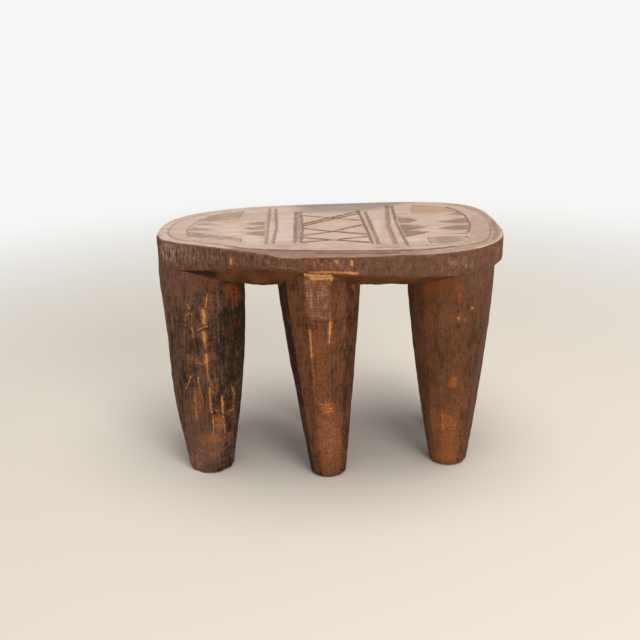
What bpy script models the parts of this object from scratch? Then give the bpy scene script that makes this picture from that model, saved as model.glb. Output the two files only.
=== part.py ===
"""Carved wooden stool: an oblong seat with a chip-carved top on six tapering, faceted legs.

Metres, +Z up. The origin is on the floor under the middle of the seat, +X runs along
the seat's length to the sitter's right hand and +Y runs to the back.
"""

import math
from collections import namedtuple

import bmesh
import bpy
from mathutils import Vector

# Seat slab
SEAT_LENGTH = 0.383
SEAT_WIDTH = 0.238
STOOL_HEIGHT = 0.275
SLAB_THICKNESS = 0.039
RIM_HEIGHT = 0.021
RIM_ROUND = 0.003
UNDERSIDE_SLOPE_RUN = 0.026

# How square each corner of the oblong is: 2 is an ellipse, larger is squarer
SQUARENESS_FRONT_LEFT = 2.6
SQUARENESS_FRONT_RIGHT = 3.2
SQUARENESS_BACK_LEFT = 2.8
SQUARENESS_BACK_RIGHT = 4.0

# The flat where the front left corner is trimmed off: its depth, its facing in degrees
CORNER_TRIM = 0.007
CORNER_TRIM_FACING = 239.5
CORNER_TRIM_SHARPNESS = 24.0

# Front row of legs: setbacks from the seat's ends, gaps and their places along the seat
FRONT_ROW_LEFT_SETBACK = 0.0
FRONT_ROW_LEFT_GAP_PLACE = -0.078
FRONT_ROW_LEFT_GAP = 0.035
FRONT_ROW_RIGHT_GAP_PLACE = 0.057
FRONT_ROW_RIGHT_GAP = 0.051
FRONT_ROW_RIGHT_SETBACK = 0.017

# Back row of legs
BACK_ROW_LEFT_SETBACK = 0.003
BACK_ROW_LEFT_GAP_PLACE = -0.074
BACK_ROW_LEFT_GAP = 0.056
BACK_ROW_RIGHT_GAP_PLACE = 0.070
BACK_ROW_RIGHT_GAP = 0.064
BACK_ROW_RIGHT_SETBACK = 0.006

# Each front and back pair: setbacks from the seat's edges, the gap between and its place
LEFT_PAIR_FRONT_SETBACK = 0.046
LEFT_PAIR_GAP_PLACE = 0.010
LEFT_PAIR_GAP = 0.008
LEFT_PAIR_BACK_SETBACK = 0.030
CENTRE_PAIR_FRONT_SETBACK = 0.008
CENTRE_PAIR_GAP_PLACE = 0.0
CENTRE_PAIR_GAP = 0.054
CENTRE_PAIR_BACK_SETBACK = 0.008
RIGHT_PAIR_FRONT_SETBACK = 0.018
RIGHT_PAIR_GAP_PLACE = -0.002
RIGHT_PAIR_GAP = 0.024
RIGHT_PAIR_BACK_SETBACK = 0.022

# Feet: their width, and how far they stand from under the middle of the leg's top
FRONT_LEFT_FOOT = 0.0495
FRONT_CENTRE_FOOT = 0.041
FRONT_RIGHT_FOOT = 0.042
BACK_LEFT_FOOT = 0.042
BACK_CENTRE_FOOT = 0.040
BACK_RIGHT_FOOT = 0.042
FRONT_LEFT_LEAN = (-0.001, -0.003)
FRONT_CENTRE_LEAN = (0.007, 0.009)
FRONT_RIGHT_LEAN = (0.0065, 0.015)
BACK_LEFT_LEAN = (-0.002, -0.004)
BACK_CENTRE_LEAN = (-0.001, -0.011)
BACK_RIGHT_LEAN = (-0.001, -0.008)
FOOT_CHAMFER = 0.003

# Belly of each leg: 0 tapers straight to the foot, 1 swells as a quarter of a sine wave
FRONT_LEFT_BELLY = 1.0
FRONT_CENTRE_BELLY = 0.1
FRONT_RIGHT_BELLY = 0.45
BACK_LEFT_BELLY = 0.5
BACK_CENTRE_BELLY = 0.3
BACK_RIGHT_BELLY = 0.4

# Turn of each leg's facets in degrees: 0 has a flat facet to the front
FRONT_LEFT_TURN = 6.0
FRONT_CENTRE_TURN = 0.0
FRONT_RIGHT_TURN = 9.0
BACK_LEFT_TURN = 4.0
BACK_CENTRE_TURN = 12.0
BACK_RIGHT_TURN = 7.0

# Legs inside the rim, and the stub tenons that hold them in the seat
RIM_STEP = 0.001
TENON_WIDTH = 0.034
TENON_LENGTH = 0.018
FIT_GAP = 0.0003

# Carved top
BORDER_INSET = 0.013
GROOVE_WIDTH = 0.0026
GROOVE_DEPTH = 0.0016
PANEL_CENTRE = 0.005
PANEL_LENGTH = 0.0795
PLAIN_STRIP = 0.0295
BAND_WIDTH = 0.0080
OUTER_BAND_MARGIN = 0.012
INNER_BAND_MARGIN = 0.030
PANEL_MARGIN = 0.004
FIELD_INSET = 0.032
CHIP_DEPTH = 0.0020
CHIP_ROW_WIDTH = 0.024
RECESS_DEPTH = 0.0012

# The part of an end field's length that a chip takes from either side
CHIP_REACH = 0.36

# Counts
OUTLINE_STEPS = 96
ROUND_STEPS = 3
LEG_FACETS = 12
LEG_RINGS = 6
CROSSES = 3
CHIPS_PER_END = 3
HALVINGS = 24

# How far cutters stand out of the wood they cut, and the least depth of a chip's tip
CUTTER_OVERSHOOT = 0.002
CHIP_TIP_DEPTH = 0.0002

# Finishes
WEATHERED_TAN = (0.250, 0.150, 0.095)
DARK_BROWN = (0.060, 0.026, 0.012)
RED_BROWN = (0.110, 0.048, 0.022)
WORN_ROUGHNESS = 0.72

RIM_BOTTOM = STOOL_HEIGHT - RIM_HEIGHT
UNDERSIDE = STOOL_HEIGHT - SLAB_THICKNESS

Leg = namedtuple("Leg", "name x_range y_range foot_width lean belly turn colour")


def clear_scene():
    for item in list(bpy.data.objects):
        bpy.data.objects.remove(item, do_unlink=True)


def wood(name, colour):
    material = bpy.data.materials.new(name)
    material.use_nodes = True
    shader = material.node_tree.nodes["Principled BSDF"]
    shader.inputs["Base Color"].default_value = (*colour, 1.0)
    shader.inputs["Roughness"].default_value = WORN_ROUGHNESS
    shader.inputs["Metallic"].default_value = 0.0
    return material


def make_object(name, bm, material=None):
    """Turn a bmesh into an object with outward faces, and free the bmesh."""
    bmesh.ops.recalc_face_normals(bm, faces=bm.faces[:])
    mesh = bpy.data.meshes.new(name)
    bm.to_mesh(mesh)
    bm.free()
    item = bpy.data.objects.new(name, mesh)
    bpy.context.scene.collection.objects.link(item)
    if material:
        mesh.materials.append(material)
    return item


def make_cutter(name, bm):
    item = make_object(name, bm)
    item.hide_render = True
    item.display_type = 'WIRE'
    return item


def combine(target, other, operation):
    modifier = target.modifiers.new(other.name, 'BOOLEAN')
    modifier.operation = operation
    modifier.solver = 'EXACT'
    modifier.object = other


def squareness(x, y):
    """The superellipse exponent of the quadrant that a plan point lies in."""
    if y < 0.0:
        return SQUARENESS_FRONT_LEFT if x < 0.0 else SQUARENESS_FRONT_RIGHT
    return SQUARENESS_BACK_LEFT if x < 0.0 else SQUARENESS_BACK_RIGHT


def oval_ratio(x, y, inset):
    """Below 1 inside the oblong before its corner is trimmed, above 1 outside it."""
    power = squareness(x, y)
    along = abs(x) / (SEAT_LENGTH / 2 - inset)
    across = abs(y) / (SEAT_WIDTH / 2 - inset)
    return (along ** power + across ** power) ** (1.0 / power)


def outline_ratio(x, y, inset):
    """Below 1 inside the seat's outline drawn in by inset, above 1 outside it."""
    facing = math.radians(CORNER_TRIM_FACING)
    trim_x, trim_y = math.cos(facing), math.sin(facing)
    trim_reach = 1.0 / oval_ratio(trim_x, trim_y, inset) - CORNER_TRIM
    past_trim = max(x * trim_x + y * trim_y, 0.0) / trim_reach
    sharpness = CORNER_TRIM_SHARPNESS
    return (oval_ratio(x, y, inset) ** sharpness + past_trim ** sharpness) ** (1.0 / sharpness)


def outline_point(angle, inset):
    x, y = math.cos(angle), math.sin(angle)
    reach = 1.0 / outline_ratio(x, y, inset)
    return reach * x, reach * y


def outline_crossing(inside, outside, inset):
    """Where the line from a point inside the drawn-in outline to one outside crosses it."""
    low, high = 0.0, 1.0
    for _ in range(HALVINGS):
        half = (low + high) / 2
        trial = inside.lerp(outside, half)
        if outline_ratio(trial.x, trial.y, inset) > 1.0:
            high = half
        else:
            low = half
    return inside.lerp(outside, low)


def outline_x(y, side, inset):
    """How far the drawn-in outline reaches to one side, on a line along the seat."""
    return outline_crossing(Vector((0.0, y)), Vector((side * SEAT_LENGTH, y)), inset).x


def outline_y(x, side, inset):
    """How far the drawn-in outline reaches to one side, on a line across the seat."""
    return outline_crossing(Vector((x, 0.0)), Vector((x, side * SEAT_WIDTH)), inset).y


def outline_ring(bm, inset, z):
    angles = (math.tau * step / OUTLINE_STEPS for step in range(OUTLINE_STEPS))
    return add_ring(bm, [(*outline_point(angle, inset), z) for angle in angles])


def add_ring(bm, points):
    corners = [bm.verts.new(point) for point in points]
    return [bm.edges.new((corners[i - 1], corners[i])) for i in range(len(corners))]


def skin(bm, rings):
    """Bridge rings of equal size, one after the other."""
    for lower, upper in zip(rings, rings[1:]):
        bmesh.ops.bridge_loops(bm, edges=lower + upper)


def cap(bm, ring):
    bmesh.ops.contextual_create(bm, geom=ring)


def seat_slab(grow):
    """The seat without its cuts: rounded rim, then an underside that slopes in to a flat."""
    bm = bmesh.new()
    rings = []
    for step in range(ROUND_STEPS + 1):
        turn = 0.5 * math.pi * step / ROUND_STEPS
        inset = RIM_ROUND * (1.0 - math.sin(turn)) - grow
        z = STOOL_HEIGHT - RIM_ROUND * (1.0 - math.cos(turn)) + grow
        rings.append(outline_ring(bm, inset, z))
    rings.append(outline_ring(bm, -grow, RIM_BOTTOM - grow))
    rings.append(outline_ring(bm, UNDERSIDE_SLOPE_RUN - grow, UNDERSIDE - grow))
    skin(bm, rings)
    bmesh.ops.triangulate(bm, faces=bm.faces[:], quad_method='FIXED')
    cap(bm, rings[0])
    cap(bm, rings[-1])
    return bm


def prism(bm, plan, top, bottoms):
    """A block over a plan polygon, with a bottom height for each corner."""
    upper = [bm.verts.new((x, y, top)) for x, y in plan]
    lower = [bm.verts.new((x, y, z)) for (x, y), z in zip(plan, bottoms)]
    bm.faces.new(upper)
    bm.faces.new(list(reversed(lower)))
    for i in range(len(plan)):
        bm.faces.new((upper[i - 1], lower[i - 1], lower[i], upper[i]))


def groove(bm, start, end, width, depth):
    """A V-shaped cut in the top of the seat, from one plan point to another."""
    run = Vector(end) - Vector(start)
    spread = CUTTER_OVERSHOOT / depth + 1.0
    side = Vector((-run.y, run.x)).normalized() * width / 2 * spread
    ends = []
    for point in (Vector(start), Vector(end)):
        left = bm.verts.new((*(point + side), STOOL_HEIGHT + CUTTER_OVERSHOOT))
        right = bm.verts.new((*(point - side), STOOL_HEIGHT + CUTTER_OVERSHOOT))
        keel = bm.verts.new((*point, STOOL_HEIGHT - depth))
        ends.append((left, right, keel))
    first, last = ends
    bm.faces.new(first)
    bm.faces.new(reversed(last))
    for i in range(3):
        bm.faces.new((first[i - 1], first[i], last[i], last[i - 1]))


def chip(bm, base_x, low_y, high_y, tip_x):
    """A triangular chip cut: deepest along its base, running out at its tip."""
    plan = [(base_x, low_y), (base_x, high_y), (tip_x, (low_y + high_y) / 2)]
    deep = STOOL_HEIGHT - CHIP_DEPTH
    bottoms = [deep, deep, STOOL_HEIGHT - CHIP_TIP_DEPTH]
    prism(bm, plan, STOOL_HEIGHT + CUTTER_OVERSHOOT, bottoms)


def band_places():
    """The middle lines of the four cross bands, from left to right."""
    left = PANEL_CENTRE - PANEL_LENGTH / 2
    right = PANEL_CENTRE + PANEL_LENGTH / 2
    return left - PLAIN_STRIP, left, right, right + PLAIN_STRIP


def border_cutter():
    """The groove that follows the rim all the way round."""
    bm = bmesh.new()
    half = GROOVE_WIDTH / 2 * (CUTTER_OVERSHOOT / GROOVE_DEPTH + 1.0)
    top = STOOL_HEIGHT + CUTTER_OVERSHOOT
    outer = outline_ring(bm, BORDER_INSET - half, top)
    keel = outline_ring(bm, BORDER_INSET, STOOL_HEIGHT - GROOVE_DEPTH)
    inner = outline_ring(bm, BORDER_INSET + half, top)
    skin(bm, [outer, keel, inner, outer])
    return make_cutter("cut_border", bm)


def band_cutter():
    """Two grooves beside each band, with the band left standing between them."""
    bm = bmesh.new()
    margins = (OUTER_BAND_MARGIN, INNER_BAND_MARGIN, INNER_BAND_MARGIN, OUTER_BAND_MARGIN)
    for middle, margin in zip(band_places(), margins):
        front = outline_y(middle, -1.0, BORDER_INSET + margin)
        back = outline_y(middle, 1.0, BORDER_INSET + margin)
        for x in (middle - BAND_WIDTH / 2, middle + BAND_WIDTH / 2):
            groove(bm, (x, front), (x, back), GROOVE_WIDTH, GROOVE_DEPTH)
    return make_cutter("cut_bands", bm)


def cross_cutters():
    """One stroke of every cross in the middle panel, then the other."""
    places = band_places()
    left = places[1] + BAND_WIDTH / 2 + PANEL_MARGIN
    right = places[2] - BAND_WIDTH / 2 - PANEL_MARGIN
    front = outline_y(PANEL_CENTRE, -1.0, BORDER_INSET + INNER_BAND_MARGIN)
    back = outline_y(PANEL_CENTRE, 1.0, BORDER_INSET + INNER_BAND_MARGIN)
    step = (back - front) / CROSSES
    cutters = []
    for name, rise in (("cut_rising_strokes", 1.0), ("cut_falling_strokes", -1.0)):
        bm = bmesh.new()
        for row in range(CROSSES):
            middle = front + step * (row + 0.5)
            half = rise * (step / 2 - GROOVE_WIDTH)
            groove(bm, (left, middle - half), (right, middle + half), GROOVE_WIDTH, GROOVE_DEPTH)
        cutters.append(make_cutter(name, bm))
    return cutters


def end_field_cutter(name, side, band):
    """The opposing chips of one end of the seat, and the flat recess on either side of them."""
    bm = bmesh.new()
    base = band + side * (BAND_WIDTH / 2 + GROOVE_WIDTH)
    half_field = CHIP_ROW_WIDTH * CHIPS_PER_END / 2
    for row in range(CHIPS_PER_END):
        low = CHIP_ROW_WIDTH * row - half_field
        high = low + CHIP_ROW_WIDTH - GROOVE_WIDTH
        arc = side * min(abs(outline_x(y, side, FIELD_INSET)) for y in (low, high))
        reach = CHIP_REACH * (arc - base)
        chip(bm, base, low, high, base + reach)
        chip(bm, arc, low, high, arc - reach)
    for edge in (-1.0, 1.0):
        near = edge * (half_field + GROOVE_WIDTH)
        arc = outline_x(near, side, FIELD_INSET)
        inner = base + CHIP_REACH * (arc - base)
        far = outline_y(inner, edge, BORDER_INSET + GROOVE_WIDTH) - edge * GROOVE_WIDTH
        outer = outline_x(far, side, BORDER_INSET + GROOVE_WIDTH)
        plan = [(inner, near), (inner, far), (outer, far), (arc, near)]
        floor = STOOL_HEIGHT - RECESS_DEPTH
        prism(bm, plan, STOOL_HEIGHT + CUTTER_OVERSHOOT, [floor] * len(plan))
    return make_cutter(name, bm)


def spans_between(total, first_setback, gaps, last_setback):
    """What is left of a length for the legs, between its setbacks and its gaps."""
    starts = [first_setback - total / 2]
    ends = []
    for place, width in gaps:
        ends.append(place - width / 2)
        starts.append(place + width / 2)
    ends.append(total / 2 - last_setback)
    return list(zip(starts, ends))


def list_legs():
    """Every leg with the span of its top, its foot and the lean, belly and turn of its facets."""
    front_gaps = [
        (FRONT_ROW_LEFT_GAP_PLACE, FRONT_ROW_LEFT_GAP),
        (FRONT_ROW_RIGHT_GAP_PLACE, FRONT_ROW_RIGHT_GAP),
    ]
    back_gaps = [
        (BACK_ROW_LEFT_GAP_PLACE, BACK_ROW_LEFT_GAP),
        (BACK_ROW_RIGHT_GAP_PLACE, BACK_ROW_RIGHT_GAP),
    ]
    left_gaps = [(LEFT_PAIR_GAP_PLACE, LEFT_PAIR_GAP)]
    centre_gaps = [(CENTRE_PAIR_GAP_PLACE, CENTRE_PAIR_GAP)]
    right_gaps = [(RIGHT_PAIR_GAP_PLACE, RIGHT_PAIR_GAP)]
    front = spans_between(SEAT_LENGTH, FRONT_ROW_LEFT_SETBACK, front_gaps, FRONT_ROW_RIGHT_SETBACK)
    back = spans_between(SEAT_LENGTH, BACK_ROW_LEFT_SETBACK, back_gaps, BACK_ROW_RIGHT_SETBACK)
    left = spans_between(SEAT_WIDTH, LEFT_PAIR_FRONT_SETBACK, left_gaps, LEFT_PAIR_BACK_SETBACK)
    centre = spans_between(SEAT_WIDTH, CENTRE_PAIR_FRONT_SETBACK, centre_gaps, CENTRE_PAIR_BACK_SETBACK)
    right = spans_between(SEAT_WIDTH, RIGHT_PAIR_FRONT_SETBACK, right_gaps, RIGHT_PAIR_BACK_SETBACK)
    return [
        Leg("leg_front_left", front[0], left[0], FRONT_LEFT_FOOT,
            FRONT_LEFT_LEAN, FRONT_LEFT_BELLY, FRONT_LEFT_TURN, DARK_BROWN),
        Leg("leg_front_centre", front[1], centre[0], FRONT_CENTRE_FOOT,
            FRONT_CENTRE_LEAN, FRONT_CENTRE_BELLY, FRONT_CENTRE_TURN, RED_BROWN),
        Leg("leg_front_right", front[2], right[0], FRONT_RIGHT_FOOT,
            FRONT_RIGHT_LEAN, FRONT_RIGHT_BELLY, FRONT_RIGHT_TURN, RED_BROWN),
        Leg("leg_back_left", back[0], left[1], BACK_LEFT_FOOT,
            BACK_LEFT_LEAN, BACK_LEFT_BELLY, BACK_LEFT_TURN, DARK_BROWN),
        Leg("leg_back_centre", back[1], centre[1], BACK_CENTRE_FOOT,
            BACK_CENTRE_LEAN, BACK_CENTRE_BELLY, BACK_CENTRE_TURN, RED_BROWN),
        Leg("leg_back_right", back[2], right[1], BACK_RIGHT_FOOT,
            BACK_RIGHT_LEAN, BACK_RIGHT_BELLY, BACK_RIGHT_TURN, RED_BROWN),
    ]


def middle_of(span):
    return (span[0] + span[1]) / 2


def inside_rim(x, y, centre):
    """Draw a plan point in towards its leg's centre until it lies within the rim."""
    point = Vector((x, y))
    if outline_ratio(x, y, RIM_STEP) <= 1.0:
        return point
    return outline_crossing(centre, point, RIM_STEP)


def facet_angles(turn):
    """Corner directions of a leg's section, with a flat facet to the front at no turn."""
    return [math.tau * (i + 0.5) / LEG_FACETS + math.radians(turn) for i in range(LEG_FACETS)]


def leg_ring(bm, leg, z, inset):
    """One section of a leg: wide under the seat, narrow at the foot, with a belly between."""
    rise = min(z / UNDERSIDE, 1.0)
    spread = (1.0 - leg.belly) * rise + leg.belly * math.sin(0.5 * math.pi * rise)
    top = Vector((middle_of(leg.x_range), middle_of(leg.y_range)))
    centre = top + Vector(leg.lean) * (1.0 - rise)
    half_foot = leg.foot_width / 2
    half_x = half_foot + ((leg.x_range[1] - leg.x_range[0]) / 2 - half_foot) * spread - inset
    half_y = half_foot + ((leg.y_range[1] - leg.y_range[0]) / 2 - half_foot) * spread - inset
    over_corners = 1.0 / math.cos(math.pi / LEG_FACETS)
    points = []
    for angle in facet_angles(leg.turn):
        x = centre.x + half_x * over_corners * math.cos(angle)
        y = centre.y + half_y * over_corners * math.sin(angle)
        points.append((*inside_rim(x, y, centre), z))
    return add_ring(bm, points)


def leg_body(leg):
    bm = bmesh.new()
    rings = [leg_ring(bm, leg, 0.0, FOOT_CHAMFER)]
    for step in range(LEG_RINGS):
        z = FOOT_CHAMFER + (RIM_BOTTOM - FOOT_CHAMFER) * step / (LEG_RINGS - 1)
        rings.append(leg_ring(bm, leg, z, 0.0))
    skin(bm, rings)
    cap(bm, rings[0])
    cap(bm, rings[-1])
    return bm


def tenon(leg, bottom, top, grow):
    """The stub on top of a leg, or with a little growth the mortise that takes it."""
    bm = bmesh.new()
    centre = (middle_of(leg.x_range), middle_of(leg.y_range))
    radius = TENON_WIDTH / 2 + grow
    rings = []
    for z in (bottom, top):
        points = []
        for angle in facet_angles(leg.turn):
            x = centre[0] + radius * math.cos(angle)
            y = centre[1] + radius * math.sin(angle)
            points.append((x, y, z))
        rings.append(add_ring(bm, points))
    skin(bm, rings)
    cap(bm, rings[0])
    cap(bm, rings[1])
    return bm


def make_seat(legs):
    seat = make_object("seat", seat_slab(0.0), wood("seat_wood", WEATHERED_TAN))
    for leg in legs:
        top = UNDERSIDE + TENON_LENGTH + FIT_GAP
        bm = tenon(leg, UNDERSIDE - CUTTER_OVERSHOOT, top, FIT_GAP)
        combine(seat, make_cutter("cut_mortise_" + leg.name, bm), 'DIFFERENCE')
    places = band_places()
    carving = [border_cutter(), band_cutter(), *cross_cutters()]
    carving.append(end_field_cutter("cut_left_field", -1.0, places[0]))
    carving.append(end_field_cutter("cut_right_field", 1.0, places[-1]))
    for cutter in carving:
        combine(seat, cutter, 'DIFFERENCE')
    return seat


def make_leg(leg, seat_space):
    item = make_object(leg.name, leg_body(leg), wood(leg.name + "_wood", leg.colour))
    combine(item, seat_space, 'DIFFERENCE')
    stub_bottom = UNDERSIDE - TENON_LENGTH
    bm = tenon(leg, stub_bottom, UNDERSIDE + TENON_LENGTH, 0.0)
    combine(item, make_cutter("add_tenon_" + leg.name, bm), 'UNION')
    return item


def main():
    clear_scene()
    legs = list_legs()
    make_seat(legs)
    seat_space = make_cutter("cut_seat_space", seat_slab(FIT_GAP))
    for leg in legs:
        make_leg(leg, seat_space)


main()
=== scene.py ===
# %% [markdown]
# # A carved wooden stool, dressed for its picture
# The real stool was hewn from a block with an adze, carved on top with a knife, and then handled
# for years. The imported model already holds its pieces and sizes. This lesson gives those pieces
# the surface that a hand and the weather left: chip carving, adze marks, splits, worn edges and
# the colours of old wood. We load the model first.

# %% Load the imported stool
import math
from collections import namedtuple

import bmesh
import bpy
import numpy as np
from mathutils import Matrix, Vector, geometry, kdtree, noise


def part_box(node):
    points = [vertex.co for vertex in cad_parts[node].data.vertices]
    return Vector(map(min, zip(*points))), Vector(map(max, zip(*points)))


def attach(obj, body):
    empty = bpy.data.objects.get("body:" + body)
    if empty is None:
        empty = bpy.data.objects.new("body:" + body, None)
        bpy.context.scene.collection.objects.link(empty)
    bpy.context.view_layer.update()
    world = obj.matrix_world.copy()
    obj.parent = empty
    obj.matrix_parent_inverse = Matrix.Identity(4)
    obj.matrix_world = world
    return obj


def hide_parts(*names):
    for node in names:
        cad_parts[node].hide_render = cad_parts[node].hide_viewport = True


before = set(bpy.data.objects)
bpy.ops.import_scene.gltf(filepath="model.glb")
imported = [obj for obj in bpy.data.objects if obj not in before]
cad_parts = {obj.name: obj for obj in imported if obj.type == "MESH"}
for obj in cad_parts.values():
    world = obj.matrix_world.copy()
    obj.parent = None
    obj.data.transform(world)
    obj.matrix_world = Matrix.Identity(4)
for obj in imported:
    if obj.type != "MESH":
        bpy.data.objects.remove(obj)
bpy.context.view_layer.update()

scene = bpy.context.scene
scene.view_settings.view_transform = 'Standard'
print("packed pieces:", ", ".join(sorted(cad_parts)))

# %% [markdown]
# ## The camera
# The photograph was taken from the front, a little above the seat. A camera is a place and three
# axes: where it looks, its right and its up. We write the pitch, turn and roll that were found by
# matching the seat's outline and the feet, and build the axes from them. The same axes let us go
# from a point on the wood to a pixel and back, so a mark seen in the picture can be laid on the
# wood where it belongs.

# %% Camera and its lines of sight
PICTURE = 640
LENS_MM = 50.0
SENSOR_MM = 36.0
FOCAL = PICTURE * LENS_MM / SENSOR_MM
CAMERA_PLACE = Vector((-0.0456, -0.9759, 0.5236))
PITCH = math.radians(20.22)
TURN = math.radians(2.0)
ROLL = math.radians(1.35)

ahead = Vector((math.sin(TURN) * math.cos(PITCH), math.cos(TURN) * math.cos(PITCH), -math.sin(PITCH)))
level = Vector((math.cos(TURN), -math.sin(TURN), 0.0))
upright = level.cross(ahead)
right = level * math.cos(ROLL) - upright * math.sin(ROLL)
up = level * math.sin(ROLL) + upright * math.cos(ROLL)

camera = bpy.data.objects.new("camera", bpy.data.cameras.new("camera"))
camera.data.lens = LENS_MM
camera.data.sensor_width = SENSOR_MM
camera.matrix_world = Matrix.Translation(CAMERA_PLACE) @ Matrix((right, up, -ahead)).transposed().to_4x4()
scene.collection.objects.link(camera)
scene.camera = camera

seat_low, seat_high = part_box("seat")
TOP = seat_high.z
UNDERSIDE = seat_low.z


def to_pixels(points):
    """Where points of the stool land in the picture."""
    offset = points - np.array(CAMERA_PLACE)
    depth = offset @ np.array(ahead)
    across = PICTURE / 2 + FOCAL * (offset @ np.array(right)) / depth
    down = PICTURE / 2 - FOCAL * (offset @ np.array(up)) / depth
    return np.stack((across, down), axis=1)


def on_top(pixels):
    """The plan points of the seat's top that some pixels show."""
    spots = []
    for across, down in pixels:
        sight = ahead * FOCAL + right * (across - PICTURE / 2) - up * (down - PICTURE / 2)
        reach = (TOP - CAMERA_PLACE.z) / sight.z
        spots.append((CAMERA_PLACE + sight * reach).xy)
    return np.array(spots)


print("the stool's middle lands on pixel", to_pixels(np.array([[0.0, 0.0, TOP]]))[0].round(1))

# %% [markdown]
# ## Floor and light
# A plain pale floor takes the shadow and fades to white far away. It is see-through from below,
# so that the underside can be looked at. The light is a soft studio one: a weak even sky, a wide
# lamp overhead and a wide lamp from the front, a little to the right. The lamps are kept at a
# level where a colour renders about as it is written.

# %% Helpers for nodes
def put(tree, kind, settings=None, **sockets):
    """Add a node, set its options, and set or link its inputs by name, or by number as i0, i1."""
    item = tree.nodes.new(kind)
    for key, value in (settings or {}).items():
        setattr(item, key, value)
    for key, value in sockets.items():
        numbered = key[0] == "i" and key[1:].isdigit()
        socket = item.inputs[int(key[1:]) if numbered else key.replace("_", " ")]
        if isinstance(value, bpy.types.NodeSocket):
            tree.links.new(value, socket)
        else:
            socket.default_value = value
    return item


def mix(tree, share, first, second):
    """Mix two colours, each a socket or a plain colour."""
    first = (*first, 1.0) if isinstance(first, tuple) else first
    second = (*second, 1.0) if isinstance(second, tuple) else second
    return put(tree, "ShaderNodeMix", {"data_type": 'RGBA'}, i0=share, i6=first, i7=second).outputs[2]


def reckon(tree, operation, first, second=0.0):
    return put(tree, "ShaderNodeMath", {"operation": operation}, i0=first, i1=second).outputs[0]


def scaled(tree, value, factor):
    return reckon(tree, 'MULTIPLY', value, factor)


def soft_step(tree, value, low, high):
    """0 below low, 1 above high and a soft rise between."""
    settings = {"interpolation_type": 'SMOOTHSTEP'}
    return put(tree, "ShaderNodeMapRange", settings, Value=value, From_Min=low, From_Max=high).outputs[0]


print("node helpers ready")

# %% Floor, sky and lamps
FLOOR_HALF = 6.0
FLOOR_COLOUR = (0.80, 0.73, 0.64)
FADE_START = 0.45
FADE_END = 1.5
BACKGROUND = (0.93, 0.93, 0.92, 1.0)
SKY_COLOUR = (0.93, 0.97, 1.0, 1.0)
SKY_LIGHT = 0.44
LAMP_WARMTH = (1.0, 0.97, 0.93)
LAMP_AIM = Vector((0.0, 0.0, 0.15))


def floor_finish():
    material = bpy.data.materials.new("pale_floor")
    material.use_nodes = True
    tree = material.node_tree
    paint = tree.nodes["Principled BSDF"]
    paint.inputs["Base Color"].default_value = (*FLOOR_COLOUR, 1.0)
    paint.inputs["Roughness"].default_value = 0.8
    place = put(tree, "ShaderNodeTexCoord").outputs["Object"]
    distance = put(tree, "ShaderNodeVectorMath", {"operation": 'LENGTH'}, i0=place).outputs["Value"]
    seen = put(tree, "ShaderNodeLightPath").outputs["Is Camera Ray"]
    far = scaled(tree, soft_step(tree, distance, FADE_START, FADE_END), seen)
    white = put(tree, "ShaderNodeEmission", Color=BACKGROUND).outputs[0]
    faded = put(tree, "ShaderNodeMixShader", i0=far, i1=paint.outputs[0], i2=white).outputs[0]
    below = put(tree, "ShaderNodeNewGeometry").outputs["Backfacing"]
    clear = put(tree, "ShaderNodeBsdfTransparent").outputs[0]
    shown = put(tree, "ShaderNodeMixShader", i0=below, i1=faded, i2=clear).outputs[0]
    tree.links.new(shown, tree.nodes["Material Output"].inputs["Surface"])
    return material


def make_floor():
    bm = bmesh.new()
    bmesh.ops.create_grid(bm, x_segments=1, y_segments=1, size=FLOOR_HALF)
    mesh = bpy.data.meshes.new("floor")
    bm.to_mesh(mesh)
    bm.free()
    mesh.materials.append(floor_finish())
    floor = bpy.data.objects.new("floor", mesh)
    scene.collection.objects.link(floor)


def make_sky():
    """White to the eye, weaker as a light."""
    world = bpy.data.worlds.new("sky")
    scene.world = world
    world.use_nodes = True
    tree = world.node_tree
    light = tree.nodes["Background"]
    light.inputs["Color"].default_value = SKY_COLOUR
    light.inputs["Strength"].default_value = SKY_LIGHT
    white = put(tree, "ShaderNodeBackground", Color=BACKGROUND).outputs[0]
    seen = put(tree, "ShaderNodeLightPath").outputs["Is Camera Ray"]
    shown = put(tree, "ShaderNodeMixShader", i0=seen, i1=light.outputs[0], i2=white).outputs[0]
    tree.links.new(shown, tree.nodes["World Output"].inputs["Surface"])


def make_lamp(name, place, width, watts):
    lamp = bpy.data.lights.new(name, 'AREA')
    lamp.shape = 'DISK'
    lamp.size = width
    lamp.energy = watts
    lamp.color = LAMP_WARMTH
    item = bpy.data.objects.new(name, lamp)
    item.location = place
    item.rotation_euler = (LAMP_AIM - Vector(place)).to_track_quat('-Z', 'Y').to_euler()
    scene.collection.objects.link(item)


make_floor()
make_sky()
make_lamp("lamp_overhead", (0.2, -0.2, 2.2), 1.6, 26.0)
make_lamp("lamp_front", (0.95, -1.9, 1.25), 1.3, 21.0)
print("stage made: floor, sky and two lamps")

# %% [markdown]
# ## Noise and ramps
# Nothing that is cut by hand is quite straight or flat, so most steps below ask for a little
# smooth noise at each point. Points are kept in arrays: one line then moves every vertex of a
# piece, which is what a sculpting brush does by hand. What changes along the seat's edge is kept in
# small tables of degrees and values, front being minus 90 degrees.

# %% Helpers for moving points
Swell = namedtuple("Swell", "height size seed")


def lumps(points, size, seed=0.0):
    """Smooth noise from about -1 to 1, with lumps of the given size along each axis."""
    places = points / np.array(size) + seed
    return np.array([noise.noise(place) for place in places.tolist()])


def swells(points, layers, seed=0.0):
    """The sum of some noises, each with its own height, size and seed."""
    return sum(layer.height * lumps(points, layer.size, seed + layer.seed) for layer in layers)


def wander(points, size, seed):
    """A smooth sideways shift for each point, so that no edge is ruler straight."""
    return np.stack((lumps(points, size), lumps(points, size, seed)), axis=1)


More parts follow.
